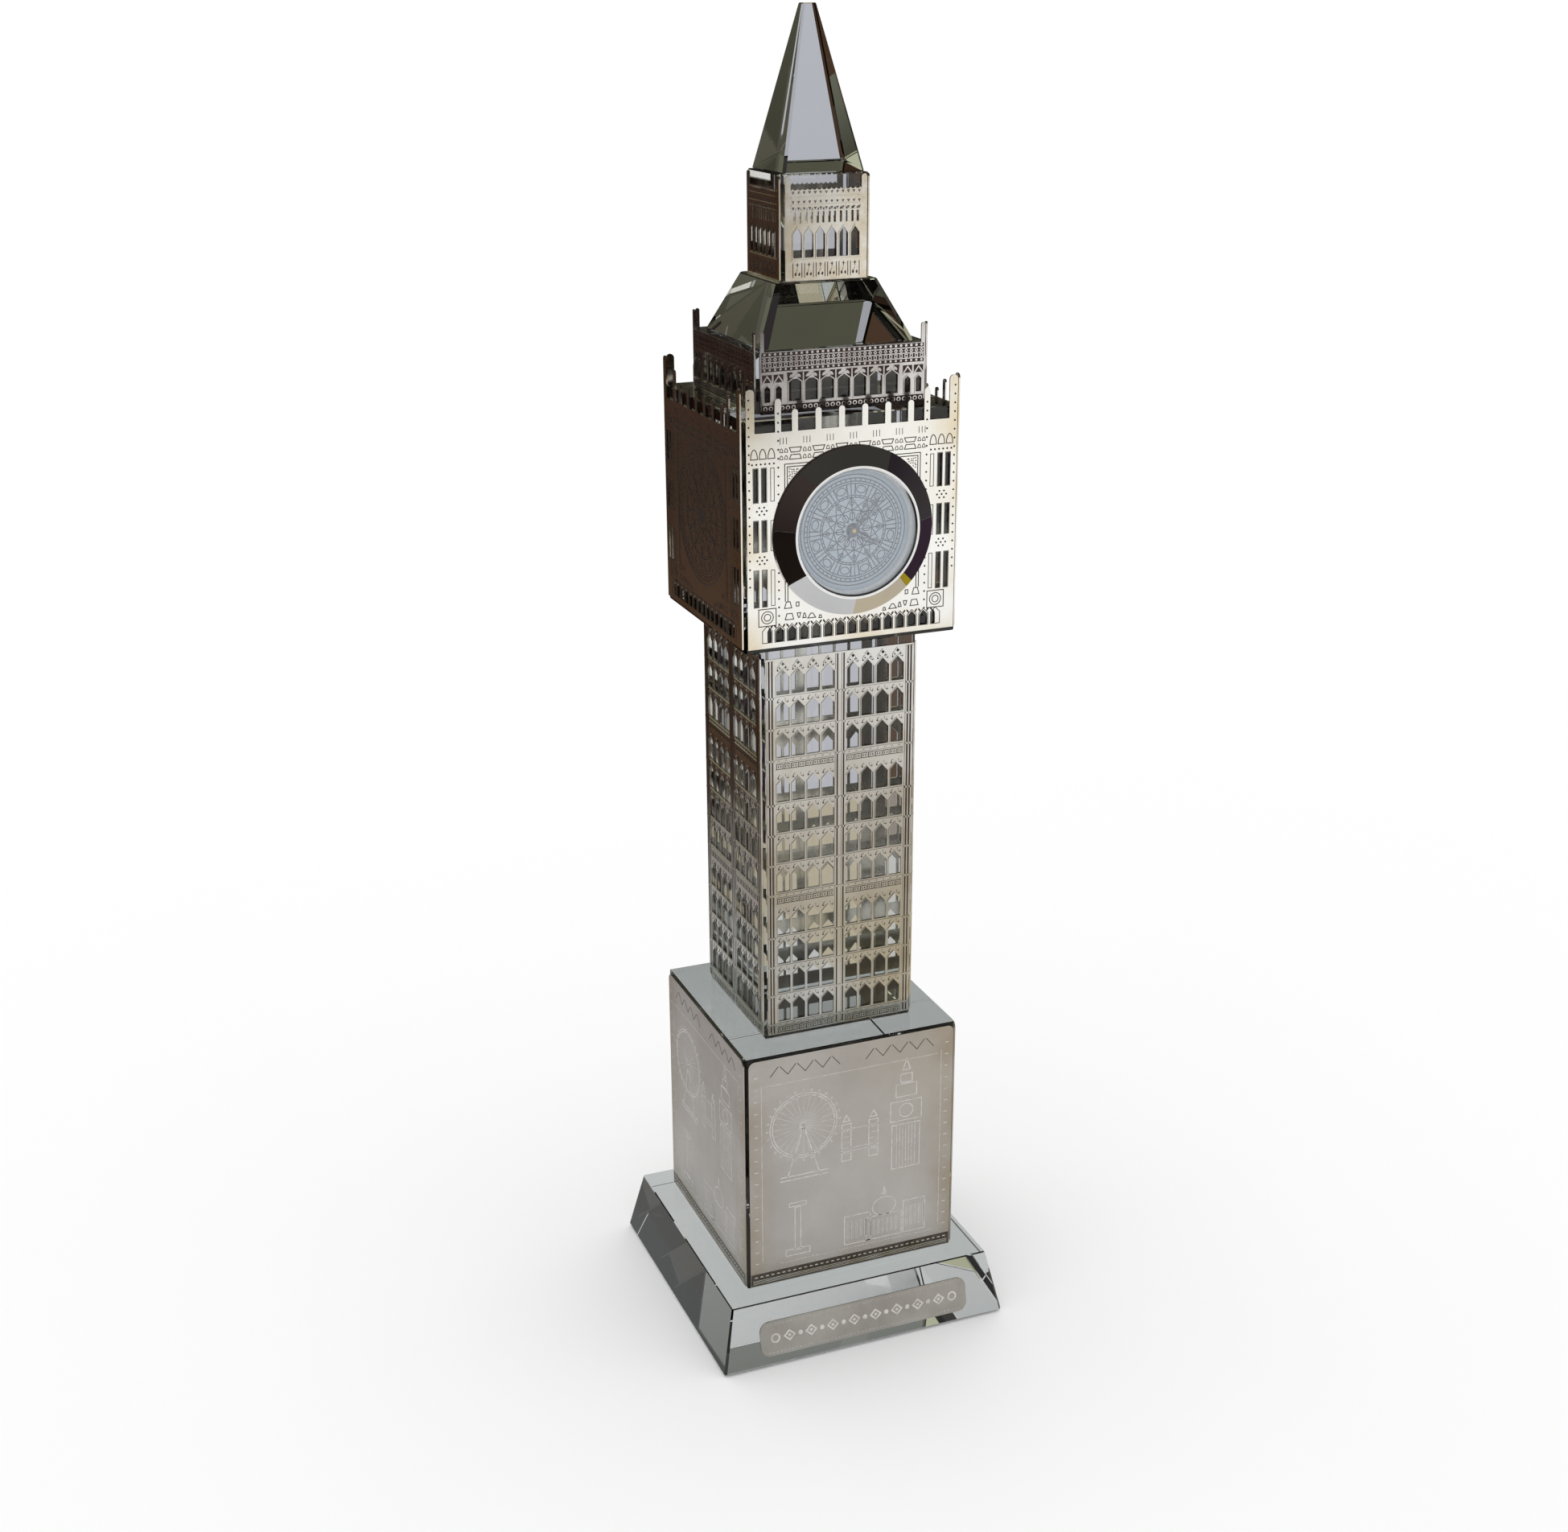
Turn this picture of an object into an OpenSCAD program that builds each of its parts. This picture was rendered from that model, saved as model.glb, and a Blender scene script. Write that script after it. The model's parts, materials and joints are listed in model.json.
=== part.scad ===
// Clock tower souvenir: bonded optical-glass blocks, pierced metal plates on every
// face, a plaque on the foot and a small round quartz clock that presses into the front.
// +Z is up, the front looks along -Y, and the origin is the centre of the resting face.
// The clock is drawn in its own frame: its middle at the origin, +Z out of the dial.

/* [Glass foot] */
// Width of the foot where it rests
plinth_bottom_w = 73; // [70:0.5:90]
// Width of the foot's top face
plinth_top_w = 66.5; // [62:0.5:84]
// Height of the foot
plinth_h = 15.5; // [12:0.5:20]

/* [Glass blocks] */
// Width of the lowest block
pedestal_w = 53.5; // [50:0.5:60]
// Height of the lowest block
pedestal_h = 61; // [50:0.5:74]
// Width of the long block under the clock
shaft_w = 37.2; // [34:0.2:46]
// Height of the long block under the clock
shaft_h = 96.5; // [94:0.5:120]
// Width of the block that holds the clock
clock_w = 50; // [49:0.5:60]
// Height of the block that holds the clock
clock_h = 50.5; // [49:0.5:61]
// Width of the low block above the clock
belfry_w = 39.2; // [39:0.2:48]
// Height of the low block above the clock
belfry_h = 13; // [12.8:0.1:16]
// Width of the roof glass at its eaves
roof_bottom_w = 35.5; // [30:0.5:39]
// Width of the roof glass at its top
roof_top_w = 23.5; // [20:0.5:28]
// Height of the roof glass
roof_h = 12.8; // [10:0.2:16]
// Width of the lantern block
lantern_w = 20; // [19.4:0.2:24]
// Height of the lantern block
lantern_h = 22; // [20:0.5:27]
// Width of the spire at its foot
spire_bottom_w = 18.6; // [15:0.2:20]
// Width of the spire's small flat top
spire_top_w = 3.1; // [1:0.1:6]
// Height of the spire
spire_h = 33.7; // [25:0.1:42]
// Polished bevel along the upright corners of a block
corner_bevel = 0.5; // [0.2:0.1:1]
// Bevel along the four sloping corners of the roof
roof_bevel = 1.3; // [0.5:0.1:2]
// Fine polished bevel round the top and bottom of every block
edge_bevel = 0.25; // [0.1:0.05:0.4]
// Thickness of the clear adhesive between bonded faces
bond = 0.05; // [0.02:0.01:0.08]

/* [Metal plates] */
// Thickness of the pierced plates and of the plaque
plate_t = 0.35; // [0.25:0.05:0.5]
// Glass left showing beside a plate at each upright corner
plate_margin = 0.6; // [0.4:0.1:0.8]
// Glass left showing above the plates on the long block
shaft_plate_drop = 3.7; // [1:0.1:5]
// Height of the band under each group of rows
window_band_h = 3.3; // [2.5:0.1:3.5]
// Width of one window on the long block
window_w = 3.05; // [2.4:0.05:3.2]
// Height of metal between a window's head and the row above it
window_head_gap = 1.6; // [1.2:0.1:2.2]
// Distance between neighbouring windows on the long block
window_pitch = 3.65; // [3.5:0.05:3.7]
// Solid strip between the two groups of windows
window_middle = 2.9; // [2.4:0.1:3]
// Depth of the parapet's gaps below the top of the clock block
parapet_drop = 2.7; // [2:0.1:4]
// Width of a corner pinnacle on the clock block's plates
pinnacle_w = 1.9; // [1.5:0.1:2.2]
// Height of a corner pinnacle above the parapet gaps
pinnacle_h = 9.3; // [6:0.1:11]
// Distance of the taller merlons from the plate's edge
tall_merlon_inset = 7.2; // [6.8:0.1:7.5]
// Height of the taller merlons above the parapet gaps
tall_merlon_h = 7; // [5:0.1:8]
// Height of the short merlons above the parapet gaps
merlon_h = 4.6; // [3:0.1:5]
// Width of the merlons
merlon_w = 1.35; // [1:0.05:1.6]
// Distance between neighbouring short merlons
merlon_pitch = 5.35; // [5:0.05:5.5]
// Distance between the small arches along the plate's foot
arch_pitch = 2.85; // [2.6:0.05:2.9]
// Width of the plaque on the foot's front slope
plaque_w = 54; // [40:0.5:60]
// Height of the plaque along the slope
plaque_h = 8.6; // [6:0.2:10]
// Corner radius of the plaque
plaque_r = 2.4; // [1:0.1:3]

/* [Clock insert] */
// Outside diameter of the bezel
bezel_d = 37; // [36.2:0.1:40]
// Height of the bezel above the plate
bezel_h = 3; // [2.4:0.1:3.4]
// Diameter of the opening inside the bezel
bezel_opening_d = 28.5; // [28:0.1:29]
// Diameter of the blind bore in the glass
bore_d = 33.5; // [32.6:0.1:35]
// Depth of the bore from the block's front face
bore_depth = 10.5; // [9.5:0.1:14]
// Radial clearance between the clock and its bore
bore_clearance = 0.06; // [0.03:0.01:0.1]
// Wall of the plastic cup
cup_wall = 1.2; // [0.9:0.1:1.4]
// Depth of the plastic cup behind the plate's face
cup_depth = 8.8; // [8.6:0.1:9.4]
// Thickness of the dial
dial_t = 0.35; // [0.2:0.05:0.4]
// Length of the minute hand
minute_hand_l = 10.2; // [8:0.1:11.5]
// Length of the hour hand
hour_hand_l = 7; // [5:0.1:8]
// Angle of the minute hand at rest, clockwise from twelve
minute_angle = 42; // [0:1:359]
// Angle of the hour hand at rest, clockwise from twelve
hour_angle = 123.5; // [0:0.5:359.5]
// Gear module of the wheel train
train_module = 0.1; // [0.08:0.005:0.1]
// Gear module of the motion work under the dial
motion_module = 0.12; // [0.1:0.005:0.12]
// Radial clearance of arbors in their holes
pivot_clearance = 0.04; // [0.02:0.01:0.06]
// Radius of the movement's main plate
movement_r = 10.5; // [10.4:0.1:11]
// Radius of the button cell
cell_r = 3.4; // [2.8:0.1:3.4]
// Thickness of the button cell
cell_t = 2.6; // [2:0.1:2.8]
// Travel of the setting crown when it is pulled
crown_travel = 0.8; // [0.5:0.02:1]

/* [Hidden] */
$fn = 48;
SIDES = ["front", "right", "back", "left"];
eps = 0.01;

// Heights of the stacked blocks
pedestal_z = plinth_h + bond;
shaft_z = pedestal_z + pedestal_h + bond;
clock_z = shaft_z + shaft_h + bond;
belfry_z = clock_z + clock_h + bond;
roof_z = belfry_z + belfry_h + bond;
lantern_z = roof_z + roof_h + bond;
spire_z = lantern_z + lantern_h + bond;
clock_middle_z = clock_z + clock_h / 2;

// Plates
clock_plate_rise = 1;      // glass showing under the clock block's plates
shaft_plate_rise = 1.1;    // glass showing under the long block's plates
pedestal_plate_cut = 0.6;  // glass showing above and below the lowest plates
pedestal_plate_r = 1.6;
rows_in_group = 4;
window_groups = 3;
missing_top_rows = 1;      // the highest group is one row short
window_rise = 1.75;
shaft_plate_head = 0.95;   // plain strip over the highest row
diamond_drop = 1.25;
diamond_r = 0.5;
merlon_clear = 2.6;        // from a taller merlon to the nearest place for a short one
arch_w = 1.95;
arch_h = 3.4;
arch_rise = 1;
arch_foot = 1.3;
slit_w = 1;
slit_gap = 0.9;
slit_edge = 1.55;          // from the plate's edge to the first slit
slit_columns = 2;
slit_rows = [[9.4, 8], [21.5, 6.7], [32.2, 7.2]]; // foot and height of each row of slits
bore_rim = 0.1;            // metal kept back from the bore's edge
belfry_windows = 7;
belfry_window_pitch = 3.72;
belfry_window_w = 2.9;
belfry_window_foot = 2.5;
belfry_cornice_h = 5.3;
belfry_rise = 1.1;
belfry_end_x = 14.9;       // first of the two narrow windows at each end
belfry_end_pitch = 2.6;
belfry_end_w = 1.3;
belfry_end_drop = 1.6;     // the narrow windows are this much lower
belfry_end_rise = 0.7;
belfry_pinnacle_h = 4.2;
belfry_pinnacle_w = 0.9;
lantern_windows = 6;
lantern_window_pitch = 2.65;
lantern_window_w = 1.95;
lantern_window_foot = 4.9;
lantern_window_h = 6.3;
lantern_rise = 1.5;
lantern_slit_x = 0.62;
lantern_slit_w = 0.54;
lantern_slit_foot = 7.1;   // above the foot of the window
lantern_slit_h = 3.1;
lantern_post_w = 1.3;
lantern_post_h = 2.9;
lantern_cornice_drop = 3.2;
plaque_middle = 0.42;      // place of the plaque up the slope, as a part of its length

// Clock insert, heights measured from the front face of the front plate
insert_r = bore_d / 2 - bore_clearance;
cup_r = insert_r - 1.15;
cup_in_r = cup_r - cup_wall;
opening_r = bezel_opening_d / 2;
dial_r = opening_r - 0.05;
seat = 0.05;               // gap between faces that rest on each other
skirt_z = -1.6;
bezel_rim_h = 0.7;         // height of the bezel's upright rim, below its cone
bezel_lip_w = 0.25;
lens_ring_w = 0.62;
lens_ring_t = 0.85;
lens_t = 0.95;
lens_top = bezel_h - lens_ring_t - seat;
gasket_w = 0.9;
hour_hand_z = 0.2;
minute_hand_z = 0.52;
hand_t = 0.14;
hub_r = 1.15;
plate_front = -1.6;
plate_back = -3.5;
stem_z = -3;
stem_r = 0.4;
crown_r = 1.15;
crown_l = 1.2;
crown_room = 0.25;         // space round the crown
crown_x = cup_r - crown_l - 0.25;
groove_x = 8.6;
groove_l = 0.5;
friction_top = skirt_z - 1.2;
friction_h = 3.2;
friction_gap = 36;         // opening of the split ring, in degrees, at the crown
arbor_r = 0.26;
cannon_r = 0.46;
pipe_r = 0.8;
wheel_t = 0.28;
level_a = -4.1;
level_b = -4.65;
level_c = -5.15;
bridge_front = -5.45;
bridge_t = 0.45;
centre_teeth = 60;
third_teeth = 32;
between_teeth = 24;
pinion_teeth = 8;
cannon_teeth = 10;
minute_teeth = 30;
hour_teeth = 32;
third_angle = 70;
between_angle = 10;
rotor_angle = -50;
magnet_r = 0.85;
magnet_t = 0.8;
coil_x = 7.4;
coil_y = -1.6;
coil_l = 5;
coil_r = 0.95;
core_r = 0.32;
lug_l = 1.2;
stator_z = -4.6;
stator_t = 0.35;
stator_ring_r = 1.5;
coil_z = stator_z - 0.1 - coil_r;
cell_angle = 215;
cell_x = movement_r - cell_r - 0.2;
cell_z = plate_back - 0.1 - cell_t;

function polar(r, a) = [r * cos(a), r * sin(a)];
function gear_distance(a, b, m) = (a + b) * m / 2;
third_at = polar(gear_distance(centre_teeth, pinion_teeth, train_module), third_angle);
between_at = third_at + polar(gear_distance(third_teeth, pinion_teeth, train_module), between_angle);
rotor_at = between_at + polar(gear_distance(between_teeth, pinion_teeth, train_module), rotor_angle);
minute_wheel_at = polar(gear_distance(cannon_teeth, minute_teeth, motion_module), -90);
cell_at = polar(cell_x, cell_angle);

// ---------- glass ----------

// Side view of a tapered block with a fine bevel at its top and bottom edges
module block_profile(w0, w1, h, bevel) {
  polygon([
    [-w0 / 2 + bevel, 0], [w0 / 2 - bevel, 0], [w0 / 2, bevel], [w1 / 2, h - bevel],
    [w1 / 2 - bevel, h], [-w1 / 2 + bevel, h], [-w1 / 2, h - bevel], [-w0 / 2, bevel]
  ]);
}

// The same profile as a slab that crosses the block
module profile_slab(w0, w1, h, bevel, depth) {
  rotate([90, 0, 0]) linear_extrude(depth, center = true) block_profile(w0, w1, h, bevel);
}

// A four-sided tapered block whose upright corners are bevelled too
module glass_solid(w0, w1, h, corner) {
  reach = 2 * max(w0, w1);
  cut = corner * sqrt(2);
  intersection() {
    profile_slab(w0, w1, h, edge_bevel, reach);
    rotate([0, 0, 90]) profile_slab(w0, w1, h, edge_bevel, reach);
    rotate([0, 0, 45]) profile_slab(w0 * sqrt(2) - cut, w1 * sqrt(2) - cut, h, 0, reach);
    rotate([0, 0, 135]) profile_slab(w0 * sqrt(2) - cut, w1 * sqrt(2) - cut, h, 0, reach);
  }
}

module plinth_glass() {
  color([0.72, 0.76, 0.78, 0.5]) glass_solid(plinth_bottom_w, plinth_top_w, plinth_h, corner_bevel);
}

module pedestal_block() {
  color([0.62, 0.66, 0.68, 0.5]) translate([0, 0, pedestal_z])
    glass_solid(pedestal_w, pedestal_w, pedestal_h, corner_bevel);
}

module shaft_block() {
  color([0.62, 0.66, 0.68, 0.5]) translate([0, 0, shaft_z])
    glass_solid(shaft_w, shaft_w, shaft_h, corner_bevel);
}

module clock_block() {
  color([0.62, 0.66, 0.68, 0.5]) difference() {
    translate([0, 0, clock_z]) glass_solid(clock_w, clock_w, clock_h, corner_bevel);
    translate([0, -clock_w / 2 - 1, clock_middle_z]) rotate([-90, 0, 0])
      cylinder(r = bore_d / 2, h = bore_depth + 1);
  }
}

module belfry_block() {
  color([0.62, 0.66, 0.68, 0.5]) translate([0, 0, belfry_z])
    glass_solid(belfry_w, belfry_w, belfry_h, corner_bevel);
}

module roof_glass() {
  color([0.55, 0.58, 0.52, 0.5]) translate([0, 0, roof_z])
    glass_solid(roof_bottom_w, roof_top_w, roof_h, roof_bevel);
}

module lantern_block() {
  color([0.62, 0.66, 0.68, 0.5]) translate([0, 0, lantern_z])
    glass_solid(lantern_w, lantern_w, lantern_h, corner_bevel);
}

module spire_glass() {
  color([0.6, 0.62, 0.6, 0.5]) translate([0, 0, spire_z])
    glass_solid(spire_bottom_w, spire_top_w, spire_h, corner_bevel);
}

// ---------- plates ----------

// Stands a flat drawing (x across, y up) on one side of a block, a bond away from it
module on_side(side, block_w, z) {
  rotate([0, 0, search([side], SIDES)[0] * 90]) translate([0, -block_w / 2 - bond, z])
    rotate([90, 0, 0]) linear_extrude(plate_t) children();
}

// A window with a pointed head and eased lower corners, its foot at the origin
module lancet(w, h, rise, foot = 0.15) {
  polygon([
    [-w / 2 + foot, 0], [w / 2 - foot, 0], [w / 2, foot], [w / 2, h - rise],
    [0, h], [-w / 2, h - rise], [-w / 2, foot]
  ]);
}

// A rectangle with two round corners at the top
module tombstone(w, h, r) {
  square_h = h - r;
  translate([-w / 2, 0]) square([w, square_h]);
  translate([-w / 2 + r, square_h - eps]) square([w - 2 * r, r + eps]);
  for (x = [-1, 1]) translate([x * (w / 2 - r), square_h]) circle(r);
}

// A post of width w with a round head
module round_post(w, h) {
  translate([-w / 2, 0]) square([w, h - w / 2]);
  translate([0, h - w / 2]) circle(w / 2);
}

shaft_plate_h = shaft_h - shaft_plate_rise - shaft_plate_drop;
window_rows = rows_in_group * window_groups - missing_top_rows;
window_row_h = (shaft_plate_h - window_groups * window_band_h - shaft_plate_head) / window_rows;
window_h = window_row_h - window_head_gap;

function window_z(group, row) =
  window_band_h * (group + 1) + window_row_h * (rows_in_group * group + row);
function rows_of(group) = rows_in_group - (group == window_groups - 1 ? missing_top_rows : 0);
function window_x(half, column) = half * window_middle / 2
  + half * (window_w / 2 + column * window_pitch);

module shaft_drawing() {
  w = shaft_w - 2 * plate_margin;
  difference() {
    translate([-w / 2, 0]) square([w, shaft_plate_h]);
    for (group = [0:window_groups - 1], row = [0:rows_of(group) - 1], half = [-1, 1], column = [0:3])
      translate([window_x(half, column), window_z(group, row)]) lancet(window_w, window_h, window_rise);
    for (half = [-1, 1], column = [0:3])
      translate([window_x(half, column), shaft_plate_h - diamond_drop]) circle(diamond_r, $fn = 4);
  }
}

module pedestal_drawing() {
  tombstone(pedestal_w - 2 * plate_margin, pedestal_h - 2 * pedestal_plate_cut, pedestal_plate_r);
}

clock_plate_w = clock_w - 2 * plate_margin;
parapet_base_h = clock_h - clock_plate_rise - parapet_drop;
tall_merlon_x = clock_plate_w / 2 - tall_merlon_inset;
merlon_count = floor(2 * (tall_merlon_x - merlon_clear) / merlon_pitch) + 1;
full_arches = 2 * floor((clock_plate_w / 2 - arch_w) / arch_pitch) - 1;

module parapet() {
  for (x = [-1, 1]) {
    translate([x * (clock_plate_w - pinnacle_w) / 2, parapet_base_h - eps])
      round_post(pinnacle_w, pinnacle_h);
    translate([x * tall_merlon_x, parapet_base_h - eps]) round_post(merlon_w, tall_merlon_h);
  }
  for (i = [0:merlon_count - 1])
    translate([(i - (merlon_count - 1) / 2) * merlon_pitch, parapet_base_h - eps])
      round_post(merlon_w, merlon_h);
}

module clock_drawing(with_bore) {
  difference() {
    union() {
      translate([-clock_plate_w / 2, 0]) square([clock_plate_w, parapet_base_h]);
      parapet();
    }
    for (i = [0:full_arches - 1])
      translate([(i - (full_arches - 1) / 2) * arch_pitch, arch_foot]) lancet(arch_w, arch_h, arch_rise);
    for (x = [-1, 1])
      translate([x * ((full_arches + 1) / 2 * arch_pitch - arch_w / 4), arch_foot])
        lancet(arch_w / 2, arch_h, arch_rise);
    for (x = [-1, 1], row = slit_rows, column = [0:slit_columns - 1])
      translate([
        x * (clock_plate_w / 2 - slit_edge - slit_w / 2 - column * (slit_w + slit_gap)) - slit_w / 2,
        row[0]
      ]) square([slit_w, row[1]]);
    if (with_bore) translate([0, clock_h / 2 - clock_plate_rise]) circle(bore_d / 2 + bore_rim);
  }
}

module belfry_drawing() {
  w = belfry_w - 2 * plate_margin;
  window_top = belfry_h - belfry_window_foot - belfry_cornice_h;
  difference() {
    union() {
      translate([-w / 2, 0]) square([w, belfry_h]);
      for (x = [-1, 1])
        translate([x * (w / 2 - belfry_pinnacle_w / 2), belfry_h - eps])
          round_post(belfry_pinnacle_w, belfry_pinnacle_h);
    }
    for (i = [-(belfry_windows - 1) / 2:(belfry_windows - 1) / 2])
      translate([i * belfry_window_pitch, belfry_window_foot])
        lancet(belfry_window_w, window_top, belfry_rise);
    for (x = [-1, 1], i = [0, 1])
      translate([x * (belfry_end_x + i * belfry_end_pitch), belfry_window_foot])
        lancet(belfry_end_w, window_top - belfry_end_drop, belfry_end_rise);
  }
}

module lantern_drawing() {
  w = lantern_w - 2 * plate_margin;
  cornice_h = lantern_h - lantern_cornice_drop;
  difference() {
    union() {
      translate([-w / 2, 0]) square([w, cornice_h]);
      for (x = [-1, 1])
        translate([x * (w / 2 - lantern_post_w / 2), cornice_h - eps])
          round_post(lantern_post_w, lantern_post_h);
    }
    for (i = [-(lantern_windows - 1) / 2:(lantern_windows - 1) / 2])
      translate([i * lantern_window_pitch, lantern_window_foot]) {
        lancet(lantern_window_w, lantern_window_h, lantern_rise);
        for (x = [-1, 1]) translate([x * lantern_slit_x - lantern_slit_w / 2, lantern_slit_foot])
          square([lantern_slit_w, lantern_slit_h]);
      }
  }
}

module pedestal_plate(side) {
  color([0.66, 0.62, 0.57]) on_side(side, pedestal_w, pedestal_z + pedestal_plate_cut) pedestal_drawing();
}

module shaft_plate(side) {
  color([0.74, 0.73, 0.7]) on_side(side, shaft_w, shaft_z + shaft_plate_rise) shaft_drawing();
}

module clock_plate(side) {
  color([0.86, 0.84, 0.8]) on_side(side, clock_w, clock_z + clock_plate_rise)
    clock_drawing(side == "front");
}

module belfry_plate(side) {
  color([0.7, 0.68, 0.66]) on_side(side, belfry_w, belfry_z) belfry_drawing();
}

module lantern_plate(side) {
  color([0.84, 0.81, 0.74]) on_side(side, lantern_w, lantern_z) lantern_drawing();
}

module name_plaque() {
  lean = atan2((plinth_bottom_w - plinth_top_w) / 2, plinth_h);
  slope_l = norm([(plinth_bottom_w - plinth_top_w) / 2, plinth_h]);
  color([0.78, 0.76, 0.72]) translate([0, -plinth_bottom_w / 2, 0]) rotate([90 - lean, 0, 0])
    translate([0, plaque_middle * slope_l, bond]) linear_extrude(plate_t) {
      square([plaque_w - 2 * plaque_r, plaque_h], center = true);
      square([plaque_w, plaque_h - 2 * plaque_r], center = true);
      for (x = [-1, 1], y = [-1, 1])
        translate([x * (plaque_w / 2 - plaque_r), y * (plaque_h / 2 - plaque_r)]) circle(plaque_r);
    }
}

// ---------- clock insert ----------

// Puts what is drawn in the clock's own frame into the front of its block
module in_clock() {
  translate([0, -clock_w / 2 - bond - plate_t, clock_middle_z]) rotate([90, 0, 0]) children();
}

module disc(r, z0, z1, at = [0, 0]) {
  translate([at[0], at[1], z0]) cylinder(r = r, h = z1 - z0);
}

module tube(r_out, r_in, z0, z1) {
  difference() {
    disc(r_out, z0, z1);
    disc(r_in, z0 - 1, z1 + 1);
  }
}

module bezel() {
  color([0.8, 0.8, 0.82]) in_clock() rotate_extrude($fn = 144) polygon([
    [insert_r, seat], [bezel_d / 2, seat], [bezel_d / 2, bezel_rim_h],
    [opening_r + bezel_lip_w, bezel_h], [opening_r, bezel_h], [opening_r, -dial_t - seat],
    [cup_r + seat, -dial_t - seat], [cup_r + seat, skirt_z], [insert_r, skirt_z]
  ]);
}

module lens_ring() {
  r = opening_r - 0.03;
  color([0.92, 0.92, 0.93]) in_clock() rotate_extrude($fn = 144) polygon([
    [r - lens_ring_w, lens_top + 0.02], [r, lens_top + 0.02], [r, bezel_h],
    [r - lens_ring_w * 0.4, bezel_h], [r - lens_ring_w, bezel_h - 0.35]
  ]);
}

module lens() {
  color([0.8, 0.86, 0.9, 0.3]) in_clock() disc(dial_r, lens_top - lens_t, lens_top);
}

module lens_gasket() {
  color([0.85, 0.85, 0.84]) in_clock()
    tube(dial_r, dial_r - gasket_w, seat, lens_top - lens_t - seat);
}

module dial() {
  color([0.62, 0.68, 0.72]) in_clock() tube(dial_r, pipe_r + 0.12, -dial_t, 0);
}

// A kite with a flat foot: half width and height at its foot and shoulders, then its tip
module blade(foot_w, foot_y, shoulder_w, shoulder_y, tip_y) {
  polygon([
    [-foot_w, foot_y], [foot_w, foot_y], [shoulder_w, shoulder_y], [0, tip_y],
    [-shoulder_w, shoulder_y]
  ]);
}

// A hand with an open, two-barred blade, pointing up
module hand_drawing(length, w, tail) {
  difference() {
    union() {
      circle(hub_r);
      blade(w * 0.3, -tail, w / 2, length * 0.55, length);
    }
    blade(w * 0.16, hub_r + 0.3, w * 0.27, length * 0.53, length * 0.82);
  }
}

module hour_hand() {
  color([0.3, 0.32, 0.34]) in_clock() difference() {
    translate([0, 0, hour_hand_z]) rotate([0, 0, -hour_angle]) linear_extrude(hand_t)
      hand_drawing(hour_hand_l, 1.5, 1.6);
    disc(pipe_r, hour_hand_z - 1, hour_hand_z + 1);
  }
}

module minute_hand() {
  color([0.3, 0.32, 0.34]) in_clock() difference() {
    translate([0, 0, minute_hand_z]) rotate([0, 0, -minute_angle]) linear_extrude(hand_t)
      hand_drawing(minute_hand_l, 1.2, 2.2);
    disc(cannon_r, minute_hand_z - 1, minute_hand_z + 1);
  }
}

module movement_cup() {
  color([0.16, 0.16, 0.17]) in_clock() difference() {
    tube(cup_r, cup_in_r, -cup_depth, -dial_t - 2 * seat);
    translate([cup_in_r - 1, -crown_r - crown_room, stem_z - crown_r - crown_room])
      cube([cup_wall + 2, 2 * (crown_r + crown_room), 2 * (crown_r + crown_room)]);
  }
}

module friction_ring() {
  z0 = friction_top - friction_h;
  rib = 0.35;
  color([0.25, 0.25, 0.26]) in_clock() rotate([0, 0, friction_gap / 2])
    rotate_extrude(angle = 360 - friction_gap, $fn = 96) polygon([
      [cup_r + seat, z0], [insert_r - rib, z0], [insert_r, z0 + 0.5], [insert_r, z0 + 0.8],
      [insert_r - rib, z0 + 1.3], [insert_r - rib, z0 + 1.9], [insert_r, z0 + 2.4],
      [insert_r, z0 + 2.7], [insert_r - rib, z0 + friction_h], [cup_r + seat, z0 + friction_h]
    ]);
}

module stem_passage(r, length) {
  translate([0, 0, stem_z]) rotate([0, 90, 0]) cylinder(r = r, h = length);
}

module movement_holder() {
  color([0.88, 0.88, 0.85]) in_clock() difference() {
    tube(cup_in_r - seat, movement_r + seat, -4.6, -dial_t - seat);
    stem_passage(stem_r + pivot_clearance, 20);
    translate([crown_x - crown_room, -crown_r - crown_room, stem_z - crown_r - crown_room])
      cube([5, 2 * (crown_r + crown_room), 2 * (crown_r + crown_room)]);
  }
}

module main_plate() {
  color([0.75, 0.7, 0.55]) in_clock() difference() {
    disc(movement_r, plate_back, plate_front);
    disc(cannon_r + 0.1, plate_back - 1, plate_front + 1);
    for (p = [third_at, between_at, rotor_at])
      disc(0.13 + pivot_clearance, plate_back - 1, plate_back + 0.5, p);
    translate([5, 0, 0]) stem_passage(stem_r + pivot_clearance, 12);
    translate([groove_x - 0.4, -0.4, plate_back - 1]) cube([groove_l + crown_travel + 0.8, 0.8, 1.3]);
    disc(0.15 + pivot_clearance, plate_front - 0.5, plate_front + 1, minute_wheel_at);
  }
}

// A toothed wheel of module m, centred at the origin, one gap or one tooth towards +X
module gear_drawing(teeth, m, turn = 0) {
  pitch = 360 / teeth;
  tip = m * (teeth / 2 + 0.5);
  root = m * (teeth / 2 - 0.85);
  rotate(turn) polygon([for (i = [0:teeth - 1]) each [
    polar(root, (i - 0.3) * pitch), polar(tip, (i - 0.11) * pitch),
    polar(tip, (i + 0.11) * pitch), polar(root, (i + 0.3) * pitch)
  ]]);
}

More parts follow.
